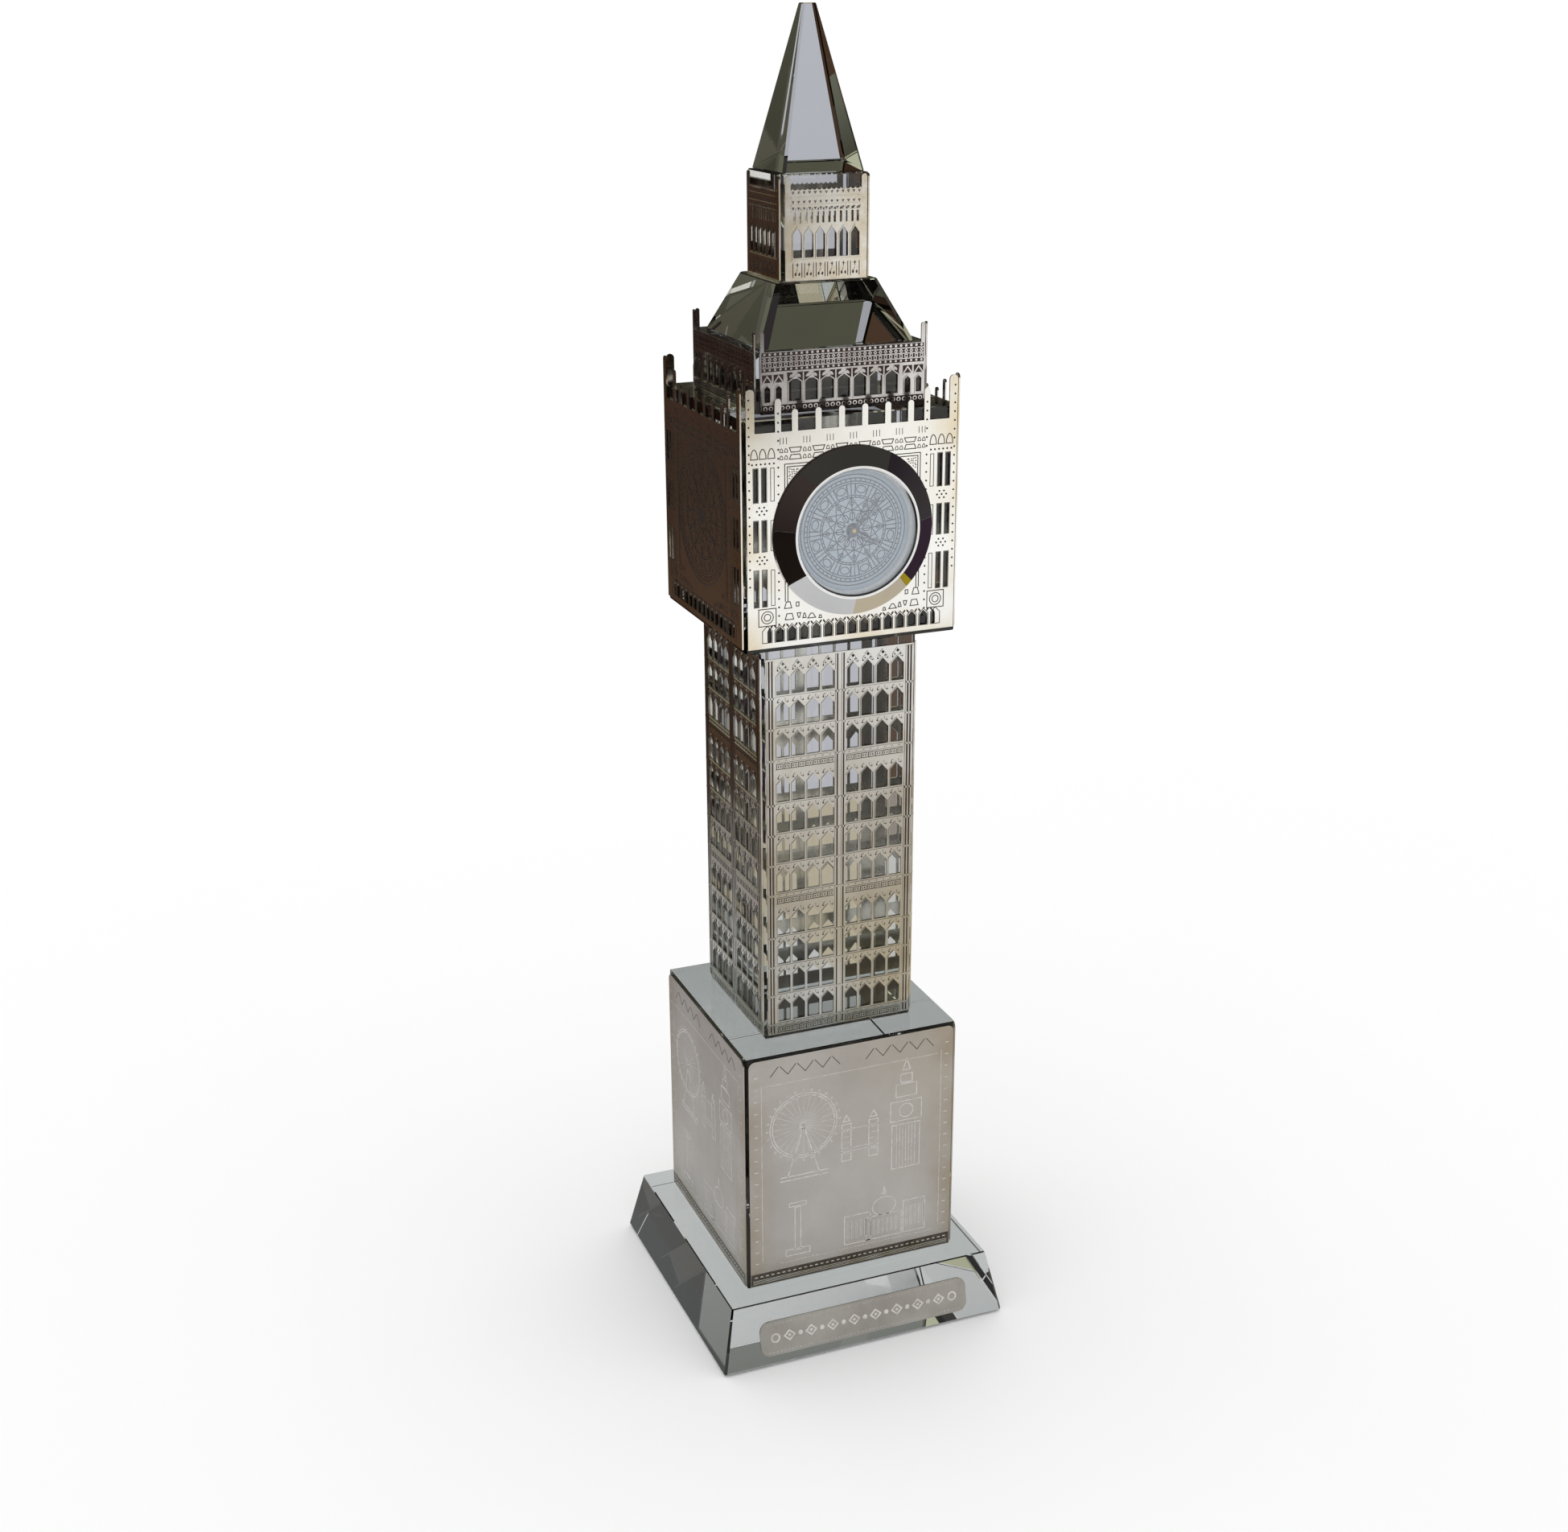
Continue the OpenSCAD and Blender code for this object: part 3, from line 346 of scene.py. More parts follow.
finishes |= {
    # thin sheet, etched right through and polished: nearly a white mirror,
    # warmer at the sides and the foot, where handling has tarnished it
    "plate_clock": metal("bright nickel silver with a cream tarnish", "FAFAF8",
                         "F3F1EC", 14, 0.15, "E4D4B2", "clock_plate_back"),
    # the same sheet, so full of drawing that it mirrors in broken greys
    "plate_shaft": metal("bright etched nickel silver", "E6E6E4", "D3D1CC",
                         11, 0.15, "C6BEAC", "shaft_plate_front"),
    # a fine lattice, which glitters between light and dark
    "plate_belfry": metal("bright nickel silver lattice", "DCDADA", "BAB4B2",
                          6, 0.14),
    # the smallest sheets have yellowed most: pale, warm and a little dull
    "plate_lantern": metal("creamy nickel silver", "FAF7F0", "F2ECE0", 5, 0.18,
                           "E4D4B6", "lantern_plate_front"),
    # the same sheet, rubbed to a satin: an even grey glow, no reflections
    "plate_pedestal": metal("satin nickel silver", "DEDAD7", "CFCAC6", 16, 0.4,
                            "C4B8A6", "pedestal_plate_front", 0.3, 0.35),
    # a coarser satin, a shade darker, so the plaque stands out from the glass
    "plaque_satin": metal("satin nickel plaque", "D6D2CC", "C2BDB6", 10, 0.42,
                          relief=0.4, grain=0.3),
    # a hard mirror, which shows the cards as sharp sectors
    "bezel_chrome": metal("chrome plate", "F4F4F6", "ECECF0", 9, 0.03),
    # turned and left soft: a thin white line round the dial
    "lens_ring_metal": metal("bright turned ring", "FFFFFF", "F2F4F8", 3, 0.22),
    # yellow sheet with the dull skin that a press leaves
    "brass_plate": metal("stamped brass", "E6C677", "CDA958", 2, 0.3,
                         relief=0.3, grain=0.15),
    # cut teeth and turned arbors: the same yellow, brighter
    "wheel_brass": metal("hobbed wheel brass", "E9CD84", "D3B165", 1, 0.24,
                         relief=0.2, grain=0.1),
    # stems, screws and the stator: cold and white
    "nickel_steel": metal("nickel-plated steel", "D6D8DA", "C2C4C6", 2, 0.2),
    # deep-drawn, so it has a faint stretched grain
    "can_steel": metal("drawn steel cell can", "DCDDDF", "C9CACC", 3, 0.28,
                       relief=0.3, grain=0.2),
    # many thin lacquered turns: reddish, and rough to the eye
    "copper_wire": metal("enamelled copper wire", "C4693A", "A64E26", 0.6, 0.32,
                         relief=0.6, grain=0.08),
    # sintered and thinly plated: dark, with a grainy shine
    "rotor_magnet": metal("nickelled magnet", "8C8E92", "6E7074", 0.8, 0.4,
                          relief=0.4, grain=0.1),
}
# a polished strip of the same sheet; its brown base colour is a painted reflection of the
# dark it mirrors
painted_dark_reflection = metal("polished strip in shade", "6A6057", "544B43", 5, 0.2)
print("metal finishes:", len(finishes))

# %% [markdown]
# The rest is lacquer, ink, moulded plastic, rubber and nylon. None of them
# mirrors anything, so their colour carries them, broken up by the fine grain
# that a mould or a spray gun leaves.

# %% Lacquers, plastics and rubber


def coating(name, code, shadow, roughness, grain, relief=0.2, metallic=0.0):
    """A matt or satin material in two near tones. grain is in millimetres."""
    finish, tree, where = new_finish(name)
    speck = add(tree, "TexNoise", {"Vector": where, "Scale": 1 / (grain * MM),
                                   "Detail": 3.0})
    share = add(tree, "MapRange", {"Value": speck, "From Min": 0.4,
                                   "From Max": 0.65})
    tone = add(tree, "Mix", {0: share, 6: paint(code), 7: paint(shadow)},
               out=2, data_type="RGBA")
    uneven = add(tree, "Bump", {"Height": speck, "Strength": relief,
                                "Distance": 0.02 * MM})
    output(tree, add(tree, "BsdfPrincipled",
                     {"Base Color": tone, "Roughness": roughness,
                      "Metallic": metallic, "Normal": uneven}))
    return finish


finishes |= {
    # lacquer with fine metal in it: a cool grey that never glares
    "dial_silver": coating("silver-grey dial lacquer", "AEBAC6", "A2AEBA", 0.45,
                           0.5, 0.05, 0.2),
    # dark hands that stand out only softly from the grey dial
    "hand_grey": coating("grey hand lacquer", "434A53", "3B424A", 0.4, 0.3, 0.05),
    # black, with the fine spark-eroded grain of its mould
    "cup_plastic": coating("black moulded ABS", "1E1E20", "161618", 0.5, 0.3),
    # a waxy white, slightly yellow
    "holder_plastic": coating("ivory moulded acetal", "D9D4C6", "CCC7B8", 0.4,
                              0.3),
    # quite dull, with a sooty grain
    "friction_rubber": coating("dark nitrile rubber", "2A2926", "1F1E1C", 0.8,
                               0.2, 0.5),
    # seen only as a thin pale edge
    "gasket_nylon": coating("white nylon", "E9EAEA", "DCDDDD", 0.45, 0.2),
    # a varnished board: deep green with a wet gloss
    "board_green": coating("green solder mask", "1F5B3A", "184A2F", 0.3, 0.4),
}
# chemically darkened metal at the bottom of each etched line: it never shines
etched = coating("darkened etched line", "453A34", "352C28", 0.5, 0.3, 0.2, 0.3)
# wider etched grounds, pitted by the acid: a purple-brown, half metallic.
# On the shaft the same dark is also painted shade under and between the raised mouldings
etched_ground_and_shade = coating("darkened etched ground and painted shade", "4B3A38", "2E2322", 0.4, 0.25,
                      0.6, 0.5)
# printed flat, so it has no edge and no shine
dial_ink = coating("dark grey dial ink", "3E4650", "363E48", 0.5, 0.2, 0.0)
# satin worn bright: lines only a shade lighter than the plate
bright_scratch = coating("satin worn bright", "C9C5C1", "B2AEAA", 0.4, 1.2, 0.2)

for record in frame["record"]["subparts"]:
    piece = nodes[record["node"]]
    piece.data.materials.clear()
    piece.data.materials.append(finishes[record["material_slot"]])
print(len(nodes), "CAD pieces in", len(finishes), "finishes")

# %% [markdown]
# An etcher draws every plate flat, and so does this script. The drawing sheet
# is the plane z = 0, with u across and v up from the plate's foot, in
# millimetres. The lines could be a bump in the material, but real geometry
# catches the light, casts shade and is there in the exported meshes. So each
# shape is a filled outline, a whole layer is joined and thickened by a
# Solidify modifier, and only then it is stood up against its plate.

# %% Drawing tools


def only(shape):
    """Selects one object, and no other."""
    bpy.ops.object.select_all(action="DESELECT")
    shape.select_set(True)
    bpy.context.view_layer.objects.active = shape


def flat(u, v, w, h, corners=None, turn=0.0, line=None):
    """A flat shape w by h: a rectangle, or with corners a polygon that has one
    at its top. With line it is only an outline of that width."""
    bpy.ops.object.select_all(action="DESELECT")
    if corners:
        bpy.ops.mesh.primitive_circle_add(
            vertices=corners, radius=0.5, fill_type="NGON")
    else:
        bpy.ops.mesh.primitive_plane_add(size=1)
    shape = bpy.context.object
    shape.scale = (w * MM, h * MM, 1)
    shape.rotation_euler.z = math.radians(turn)
    shape.location = (u * MM, v * MM, 0)
    bpy.ops.object.transform_apply()
    return hollow(shape, line) if line else shape


def hollow(shape, line):
    """Keeps only the rim of a filled shape."""
    bpy.ops.object.mode_set(mode="EDIT")
    bpy.ops.mesh.select_all(action="SELECT")
    bpy.ops.mesh.inset(thickness=line * MM, depth=0)
    bpy.ops.mesh.delete(type="FACE")
    bpy.ops.object.mode_set(mode="OBJECT")
    return shape


def stroke(start, end, line):
    """A straight line from one point to another."""
    along = Vector(end) - Vector(start)
    middle = (Vector(end) + Vector(start)) / 2
    return flat(middle.x, middle.y, along.length, line,
                turn=math.degrees(math.atan2(along.y, along.x)))


def house(u, v, w, h, rise, line=None):
    """A window with a pointed head, its foot at v."""
    shape = flat(u, v + (h - rise) / 2, w, h - rise)
    top = max(p.co.y for p in shape.data.vertices)
    for point in shape.data.vertices:
        point.select = point.co.y > top - 1e-6
    for edge in shape.data.edges:
        edge.select = all(shape.data.vertices[i].select for i in edge.vertices)
    for face in shape.data.polygons:
        face.select = False
    bpy.ops.object.mode_set(mode="EDIT")
    bpy.ops.mesh.select_mode(type="EDGE")
    bpy.ops.mesh.extrude_region_move(
        TRANSFORM_OT_translate={"value": (0, rise * MM, 0)})
    bpy.ops.mesh.merge(type="CENTER")
    bpy.ops.mesh.select_mode(type="VERT")
    bpy.ops.object.mode_set(mode="OBJECT")
    return hollow(shape, line) if line else shape


def tapered(u, v, w, h, top, line=None):
    """A four-sided shape, w wide at its foot and top wide at its head."""
    shape = flat(u, v, w, h)
    for point in shape.data.vertices:
        if point.co.y > v * MM:
            point.co.x = u * MM + (point.co.x - u * MM) * top / w
    return hollow(shape, line) if line else shape


def half_disc(u, v, w, h, line=None):
    """The upper half of an oval, standing on its flat foot at v."""
    shape = flat(u, v, w, 2 * h, 16)
    bpy.ops.object.mode_set(mode="EDIT")
    bpy.ops.mesh.select_all(action="SELECT")
    bpy.ops.mesh.bisect(plane_co=(0, v * MM, 0), plane_no=(0, 1, 0),
                        clear_inner=True)
    bpy.ops.object.mode_set(mode="OBJECT")
    return hollow(shape, line) if line else shape


def row(shape, count, du=0.0, dv=0.0):
    """Repeats a shape in a straight row."""
    array = shape.modifiers.new("row", "ARRAY")
    array.count = count
    array.use_relative_offset = False
    array.use_constant_offset = True
    array.constant_offset_displace = (du * MM, dv * MM, 0)
    return applied(shape, array)


def applied(shape, modifier):
    """Applies a modifier, so that only its result is left."""
    only(shape)
    bpy.ops.object.modifier_apply(modifier=modifier.name)
    return shape


def both_halves(shape):
    """Mirrors a shape to the other half of the sheet."""
    mirror = shape.modifiers.new("halves", "MIRROR")
    mirror.use_mirror_merge = False
    return applied(shape, mirror)


def round_the_middle(shape, count):
    """Repeats a shape in a ring round the sheet's origin."""
    only(shape)
    bpy.ops.object.mode_set(mode="EDIT")
    bpy.ops.mesh.select_all(action="SELECT")
    bpy.ops.mesh.spin(steps=count - 1, dupli=True, axis=(0, 0, 1),
                      center=(0, 0, 0),
                      angle=2 * math.pi * (count - 1) / count)
    bpy.ops.object.mode_set(mode="OBJECT")
    return shape


def turned(shape, degrees):
    """Turns a shape round the sheet's origin."""
    only(shape)
    shape.rotation_euler.z = math.radians(degrees)
    bpy.ops.object.transform_apply()
    return shape


def joined(shapes):
    """One mesh from many shapes."""
    bpy.ops.object.select_all(action="DESELECT")
    for shape in shapes:
        shape.select_set(True)
    bpy.context.view_layer.objects.active = shapes[0]
    bpy.ops.object.join()
    return shapes[0]


def pressed(shapes, proud, name):
    """Gives a finished layer its thickness."""
    layer = joined(shapes)
    layer.name = name
    solid = layer.modifiers.new("thickness", "SOLIDIFY")
    solid.thickness, solid.offset = proud * MM, 1
    return applied(layer, solid)


def stand(layer, side, foot, face):
    """Stands a flat layer up on one face of the tower."""
    layer.matrix_world = (
        Matrix.Rotation(math.radians(90) * SIDES.index(side), 4, "Z")
        @ Matrix.Translation((0, -face, foot))
        @ Matrix.Rotation(math.radians(90), 4, "X"))
    only(layer)
    bpy.ops.object.transform_apply()


def stuck_on(layer, plate, sides, finish):
    """Copies a layer to the named sides of the tower, on its plates."""
    low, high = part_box(f"{plate}_plate_front")
    for side in sides:
        copy = layer.copy()
        copy.data = layer.data.copy()
        bpy.context.collection.objects.link(copy)
        copy.name = f"{layer.name}_{side}"
        stand(copy, side, low.z, -low.y)
        copy.data.materials.append(finish)
        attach(copy, "tower")
    print(layer.name, "on", len(sides), "sides,",
          len(layer.data.polygons), "faces each")
    bpy.data.objects.remove(layer)


print("drawing tools ready")

# %% [markdown]
# The long plates carry eleven rows of eight pointed windows, which the CAD
# model has already pierced. Round them the etcher left raised mullions, sills
# and window frames, a pair of leaves on the shoulders of each window, and a
# band of little panels under each group of rows. The deep etched grounds
# between them have darkened, and painted shade is added on them: a dark leaf
# under each raised leaf, dark strips between the mullions and a dark patch
# behind each panel stand for the shade that these raised parts cast. Both are
# a second, thinner layer. One window is drawn, and rows and a mirror repeat
# it, which keeps all of them alike.

# %% The shaft's windows and mullions
GROUPS, ROWS, COLUMNS = 3, 4, 4          # the highest group is a row short
BAND, HEAD_STRIP, HEAD_GAP = 3.3, 0.95, 1.6
WINDOW_W, WINDOW_PITCH, MIDDLE, WINDOW_RISE = 3.05, 3.65, 2.9, 1.75
PROUD, INLAY = 0.12, 0.03                # how thick raised and dark layers are
low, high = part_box("shaft_plate_front")
SHAFT_H = (high.z - low.z) / MM
ROW = (SHAFT_H - GROUPS * BAND - HEAD_STRIP) / (GROUPS * ROWS - 1)
WINDOW_H = ROW - HEAD_GAP
FIRST_U = (MIDDLE + WINDOW_W) / 2

window_feet = [BAND * (group + 1) + ROW * (ROWS * group + storey)
               for group in range(GROUPS)
               for storey in range(ROWS - (group == GROUPS - 1))]


def window_row(shape):
    """Repeats a shape at every window of its row."""
    return both_halves(row(shape, COLUMNS, WINDOW_PITCH))


def leaf(side, aside, v, w, h, lean):
    """A leaf beside the middle of the first window, on its -1 or +1 side."""
    return flat(FIRST_U + side * aside, v, w, h, 6, turn=-side * lean)


FRAME = 0.18                              # width of metal round a window
MULLIONS, SHADE_LINES = (16.15, 16.9, 17.6, 0.45, 1.1), (16.53, 17.25, 0.78)
HALF_U, HALF_W, SILL = 8.55, 14.2, 0.22   # one half's windows, and their sills
raised, dark = [], []
for foot in window_feet:
    window_top = foot + WINDOW_H
    raised.append(window_row(house(
        FIRST_U, foot - FRAME, WINDOW_W + 0.34, WINDOW_H + 2 * FRAME,
        WINDOW_RISE, 0.14)))
    for side in (-1, 1):
        raised.append(window_row(leaf(side, 0.86, window_top + 0.28, 0.95, 0.5, 52)))
        # a larger dark leaf, lower and further out: painted shadow under the raised leaf
        dark.append(window_row(leaf(side, 0.95, window_top + 0.14, 1.25, 0.62, 52)))
    raised.append(both_halves(flat(16.9, foot - 0.75, 1.9, 0.45)))
    raised.append(flat(0, foot - 0.75, 2.6, 0.45))
    raised.append(both_halves(flat(HALF_U, foot - 0.55, HALF_W, SILL)))
for u in MULLIONS:
    raised.append(both_halves(flat(u, SHAFT_H / 2, 0.3, SHAFT_H - 0.8)))
# dark strips between the mullions: painted shade in the grooves
for u in SHADE_LINES:
    dark.append(both_halves(flat(u, SHAFT_H / 2, 0.28, SHAFT_H - 0.8)))
print(len(window_feet), "rows of windows")

# %% [markdown]
# Each group of rows stands on a band of small panels, a framed square with a
# stud in it and a bead above. Over the highest row there is no room for a
# band, so the real plate ends in crossed leaves and open lozenges. They all
# repeat at an even pitch, so each is drawn once and an Array modifier does
# the rest.

# %% The shaft's bands and its head
PANEL_PITCH, PANELS, FIRST_PANEL = 1.78, 8, 2.35


def panel_row(shape):
    """Repeats a shape at every panel of a band."""
    return both_halves(row(shape, PANELS, PANEL_PITCH))


for group in range(GROUPS):
    band_top = BAND * (group + 1) + ROW * ROWS * group
    for drop in (3.0, 1.5):
        raised.append(both_halves(flat(HALF_U, band_top - drop, HALF_W, SILL)))
    panel_v = band_top - 2.25
    # a dark patch a little larger than the raised frame: painted shade round it
    dark.append(panel_row(flat(FIRST_PANEL, panel_v, 1.55, 1.2)))
    raised.append(panel_row(flat(FIRST_PANEL, panel_v, 1.3, 0.95, line=0.24)))
    raised.append(panel_row(flat(FIRST_PANEL, panel_v, 0.4, 0.4)))
    raised.append(panel_row(flat(FIRST_PANEL, band_top - 1.03, 0.7, 0.55, 4)))
head = SHAFT_H - 1.25
for side in (-1, 1):
    raised.append(window_row(leaf(side, 0.95, head - 0.62, 1.05, 0.36, 48)))
    raised.append(window_row(leaf(side, 0.62, head - 0.95, 0.9, 0.34, -48)))
raised.append(window_row(flat(FIRST_U, head, 1.5, 1.5, 4, line=0.22)))

stuck_on(pressed(raised, PROUD, "shaft_mouldings"), "shaft", SIDES,
         finishes["plate_shaft"])
# the dark layer: darkened etched grounds together with painted shade round the mouldings
stuck_on(pressed(dark, INLAY, "shaft_grounds_and_shade"), "shaft", SIDES,
         etched_ground_and_shade)

# %% [markdown]
# The clock plates are the brightest, and their drawing is mostly fine dark
# line: arches, rosettes, dotted columns, ticks and a double frame round the
# clock, whose corners are filled with stippled leaves. An etched line is a
# shallow groove, which would have to be cut into the CAD plate, so here it is
# a dark strip that lies on the plate, thinner than a sheet of paper.

# %% The clock plate's borders
low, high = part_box("clock_plate_back")
block_low, block_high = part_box("clock_block")
MIDDLE_V = ((block_low.z + block_high.z) / 2 - low.z) / MM
DOT, DOT_PITCH, FINE = 0.45, 1.9, 0.19
SLIT_ROWS = ((9.4, 8), (21.5, 6.7), (32.2, 7.2))     # foot and height of each
ROSETTE = ((-1.1, 0), (-0.55, 0.75), (0, 0), (0.55, 0.75), (1.1, 0),
           (-0.55, -0.75), (0.55, -0.75))
CORNER_U, CORNER_V, TICK_GAP = 19.9, 6.9, 0.72


def dot(u, v):
    """One etched point."""
    return flat(u, v, DOT, DOT, 8)


lines = [both_halves(row(dot(23.8, 14), 22, 0, DOT_PITCH)),
         both_halves(row(dot(17.2, 3.2), 26, 0, DOT_PITCH)),
         both_halves(row(dot(18.2, 40.3), 6, 0.98))]
for v in (19.6, 30.3):
    lines += [both_halves(dot(21.0 + du, v + dv)) for du, dv in ROSETTE]
for foot, tall in SLIT_ROWS:
    middle = foot + tall / 2
    lines.append(both_halves(row(
        flat(22.35, middle, 1.3, tall + 0.3, line=0.12), 2, -1.9)))
    lines.append(both_halves(flat(18.55, middle, 0.95, tall, line=0.14)))
lines.append(both_halves(flat(CORNER_U, CORNER_V, 4.2, 4.0, line=FINE)))
for width, sides in ((2.9, 24), (1.7, 20)):
    lines.append(both_halves(
        flat(CORNER_U, CORNER_V, width, width, sides, line=FINE)))
lines.append(both_halves(row(
    half_disc(18.75, 41.3, 1.75, 2.3, FINE), 3, 1.95)))
for k in (-1, 0, 1):
    lines.append(row(flat(-16.05 + k * TICK_GAP, 44.85, 0.13, 1.4), 7, 5.35))
print(len(lines), "shapes in the borders")

# %% [markdown]
# Round the clock runs a double square frame. Over it is a frieze of two rows
# of keystones and small arcs, under it a scatter of masonry blocks, and an
# arcade along the foot frames the pierced arches. The leaves in the frame's
# corners are small strokes laid on a grid and then shifted by chance, from a
# fixed seed, which looks engraved by hand and comes out the same every time.

# %% The clock plate's frame and friezes
for u, v in ((15.75, 39.9), (15.15, 39.3)):
    lines.append(flat(0, v, 2 * u + FINE, FINE))
    lines.append(both_halves(flat(u, (v + 10) / 2, FINE, v - 10)))
FRIEZE_PITCH = 5.32
for v, foot_w, top_w in ((42.85, 2.1, 3.0), (41.35, 3.0, 2.1)):
    lines.append(row(tapered(-2.5 * FRIEZE_PITCH, v, foot_w, 1.15, top_w, FINE),
                     6, FRIEZE_PITCH))
    for aside in (2.12, 3.2):
        lines.append(row(
            half_disc(-3.5 * FRIEZE_PITCH + aside, v - 0.5, 0.85, 0.95, 0.15),
            7, FRIEZE_PITCH))
random.seed(7)
FRAME_U, FRAME_V, BEZEL_R, LEAF, LEAVES = 14.7, 14.6, 18.9, 0.48, 14
for i in range(LEAVES):
    for j in range(LEAVES):
        u = FRAME_U - LEAF * (i + 0.6 * random.random())
        v = FRAME_V - LEAF * (j + 0.6 * random.random())
        if math.hypot(u, v) > BEZEL_R:
            lines.append(both_halves(flat(
                u, MIDDLE_V + v, 0.46, 0.24, 5,
                turn=random.choice((20, 65, 110, 155)))))
MASONRY = (  # place across and up, width at the foot, height, width at the top
    (15.1, 9.2, 1.9, 1.6, 1.0), (12.9, 9.2, 0.8, 1.1, 0.8),
    (14.8, 6.6, 2.2, 1.5, 1.4), (12.6, 6.7, 0.4, 1.2, 1.1),
    (11.3, 6.5, 1.0, 1.2, 0.4), (9.6, 6.3, 2.2, 1.2, 0.6),
    (7.6, 5.9, 0.9, 0.8, 0.5))
lines += [both_halves(tapered(*block, FINE)) for block in MASONRY]
ARCH_PITCH, ARCHES = 2.85, 15
first = -(ARCHES - 1) / 2 * ARCH_PITCH
lines.append(row(house(first, 1.15, 2.4, 3.95, 1.15, 0.16), ARCHES, ARCH_PITCH))
for side, turn in ((-1, -35), (1, 35)):
    lines.append(row(flat(first + ARCH_PITCH / 2 + side * 0.42, 4.75, 0.42, 0.95,
                          7, turn=turn), ARCHES - 1, ARCH_PITCH))
stuck_on(pressed(lines, INLAY, "clock_plate_lines"), "clock", SIDES,
         etched)

# %% [markdown]
# The other three clock plates have no clock, so the whole face is etched on
# them. The same tracery is printed in dark grey on the little clock's own
# dial: a hub, twelve six-sided petals, a star lattice, a ring of panes with
# plain strokes for the hours, and a minute track. It is drawn once, as one
# petal, one pane and one stroke, which the Spin tool repeats round the middle.

# %% The tracery of the clock face


def ring(radius, line):
    """A thin circle round the middle of the sheet."""
    return flat(0, 0, 2 * radius, 2 * radius, 96, line=line)


def tracery(line):
    """The clock face, 12.3 mm in radius."""
    drawn = [flat(0, 0, 3.2, 3.2, 24)]
    drawn += [ring(r, line) for r in (4.5, 7.3, 7.75, 10.3, 10.8, 11.5, 12.3)]
    drawn.append(round_the_middle(flat(0, 3.1, 1.5, 2.3, 6, line=line), HOURS))
    for turn in (30, -30):
        lean = math.radians(turn)
        tip = (7.3 * math.sin(lean), 7.3 * math.cos(lean))
        drawn.append(round_the_middle(stroke((0, 4.4), tip, line), HOURS))
    drawn.append(round_the_middle(flat(0, 5.9, 1.2, 1.5, 4, line=line), HOURS))
    drawn.append(round_the_middle(flat(0, 7.5, line, 0.45), 4 * HOURS))
    drawn.append(round_the_middle(flat(0, 11.15, line, 0.7), 5 * HOURS))
    drawn.append(round_the_middle(flat(0, 6.2, line, 8.6), HOURS))
    for turn in (-6, 6):
        drawn.append(round_the_middle(
            turned(flat(0, 9.0, line * 1.4, 2.3), turn), HOURS))
    drawn.append(round_the_middle(
        turned(flat(0, 9.0, 2.5, 1.9, 8, line=line), 15), HOURS))
    return drawn


HOURS, PRINT_LINE, PRINT_THICKNESS = 12, 0.22, 0.01
DIAL_TURN = 3                    # the clock sits a little turned in its bore
low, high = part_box("dial")
dial_print = pressed(tracery(PRINT_LINE), PRINT_THICKNESS, "dial_print")
turned(dial_print, DIAL_TURN)
stand(dial_print, "front", (low.z + high.z) / 2, -low.y)
dial_print.data.materials.append(dial_ink)
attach(dial_print, "clock_insert")
print(len(dial_print.data.polygons), "faces in the dial's print")

ETCHED_DIAL = 1.27               # how much larger the etched face is
face_lines = pressed(tracery(0.15) + [ring(12.0, 0.12)], INLAY, "etched_face")
face_lines.scale = (ETCHED_DIAL, ETCHED_DIAL, 1)
face_lines.location.y = MIDDLE_V * MM
bpy.ops.object.transform_apply()
stuck_on(face_lines, "clock", SIDES[1:], etched)

# %% [markdown]
# Above the clock, the belfry's plates are almost all lattice: rows of beads
# and little squares, a row of leaves over the windows, and rosettes under
# their sills. The bright lattice is one layer and the dark ground that shows
# between its parts is another, so that the ground is drawn as plain bands.

# %% The belfry's lattice
low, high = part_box("belfry_plate_front")
BELFRY_HALF = high.x / MM - 0.3
beads, dark = [], []
BEADS, BEAD_END = 31, BELFRY_HALF - 0.6
for v, w, corners, line in ((12.55, 0.62, 8, None), (11.45, 0.95, 4, 0.2),
                            (10.35, 0.75, None, 0.17), (9.35, 0.55, 8, None)):
    beads.append(row(flat(-BEAD_END, v, w, w, corners, line=line), BEADS,
                     2 * BEAD_END / (BEADS - 1)))
for v in (12.0, 10.9, 9.8, 8.85):
    beads.append(flat(0, v, 2 * BELFRY_HALF, 0.2))
for v, h in ((12.5, 0.8), (11.45, 0.9), (10.35, 0.9), (9.35, 0.85)):
    dark.append(flat(0, v, 2 * BELFRY_HALF, h))
BELFRY_PITCH, WINDOWS = 3.72, 7
first = -(WINDOWS - 1) / 2 * BELFRY_PITCH
for side in (-1, 1):
    for layer, shape in (
            (beads, flat(first + side * 0.85, 7.85, 1.15, 0.62, 6, turn=-side * 40)),
            (dark, tapered(first + side * 1.2, 7.7, 0.9, 1.7, 1.3)),
            (dark, flat(first + side * 1.62, 4.7, 0.22, 4.6))):
        layer.append(row(shape, WINDOWS, BELFRY_PITCH))
beads.append(row(house(first, 2.2, 3.3, 5.6, 1.2, 0.2), WINDOWS, BELFRY_PITCH))
beads.append(row(flat(first + BELFRY_PITCH / 2, 5.5, 0.3, 6.2),
                 WINDOWS - 1, BELFRY_PITCH))
for u in (14.9, 17.5):
    beads.append(both_halves(house(u, 2.2, 1.75, 4.1, 0.8, 0.2)))
    beads.append(both_halves(house(u, 6.35, 2.2, 1.9, 1.5, 0.28)))
    dark.append(both_halves(flat(u, 7.5, 2.2, 1.6)))
dark.append(flat(0, 1.2, 2 * BELFRY_HALF, 1.5))
SILL_BEADS, SILL_END = 29, BELFRY_HALF - 0.75
beads.append(row(flat(-SILL_END, 1.2, 1.0, 1.0, 10, line=0.2), SILL_BEADS,
                 2 * SILL_END / (SILL_BEADS - 1)))
for v in (0.35, 2.05):
    beads.append(flat(0, v, 2 * BELFRY_HALF, 0.2))
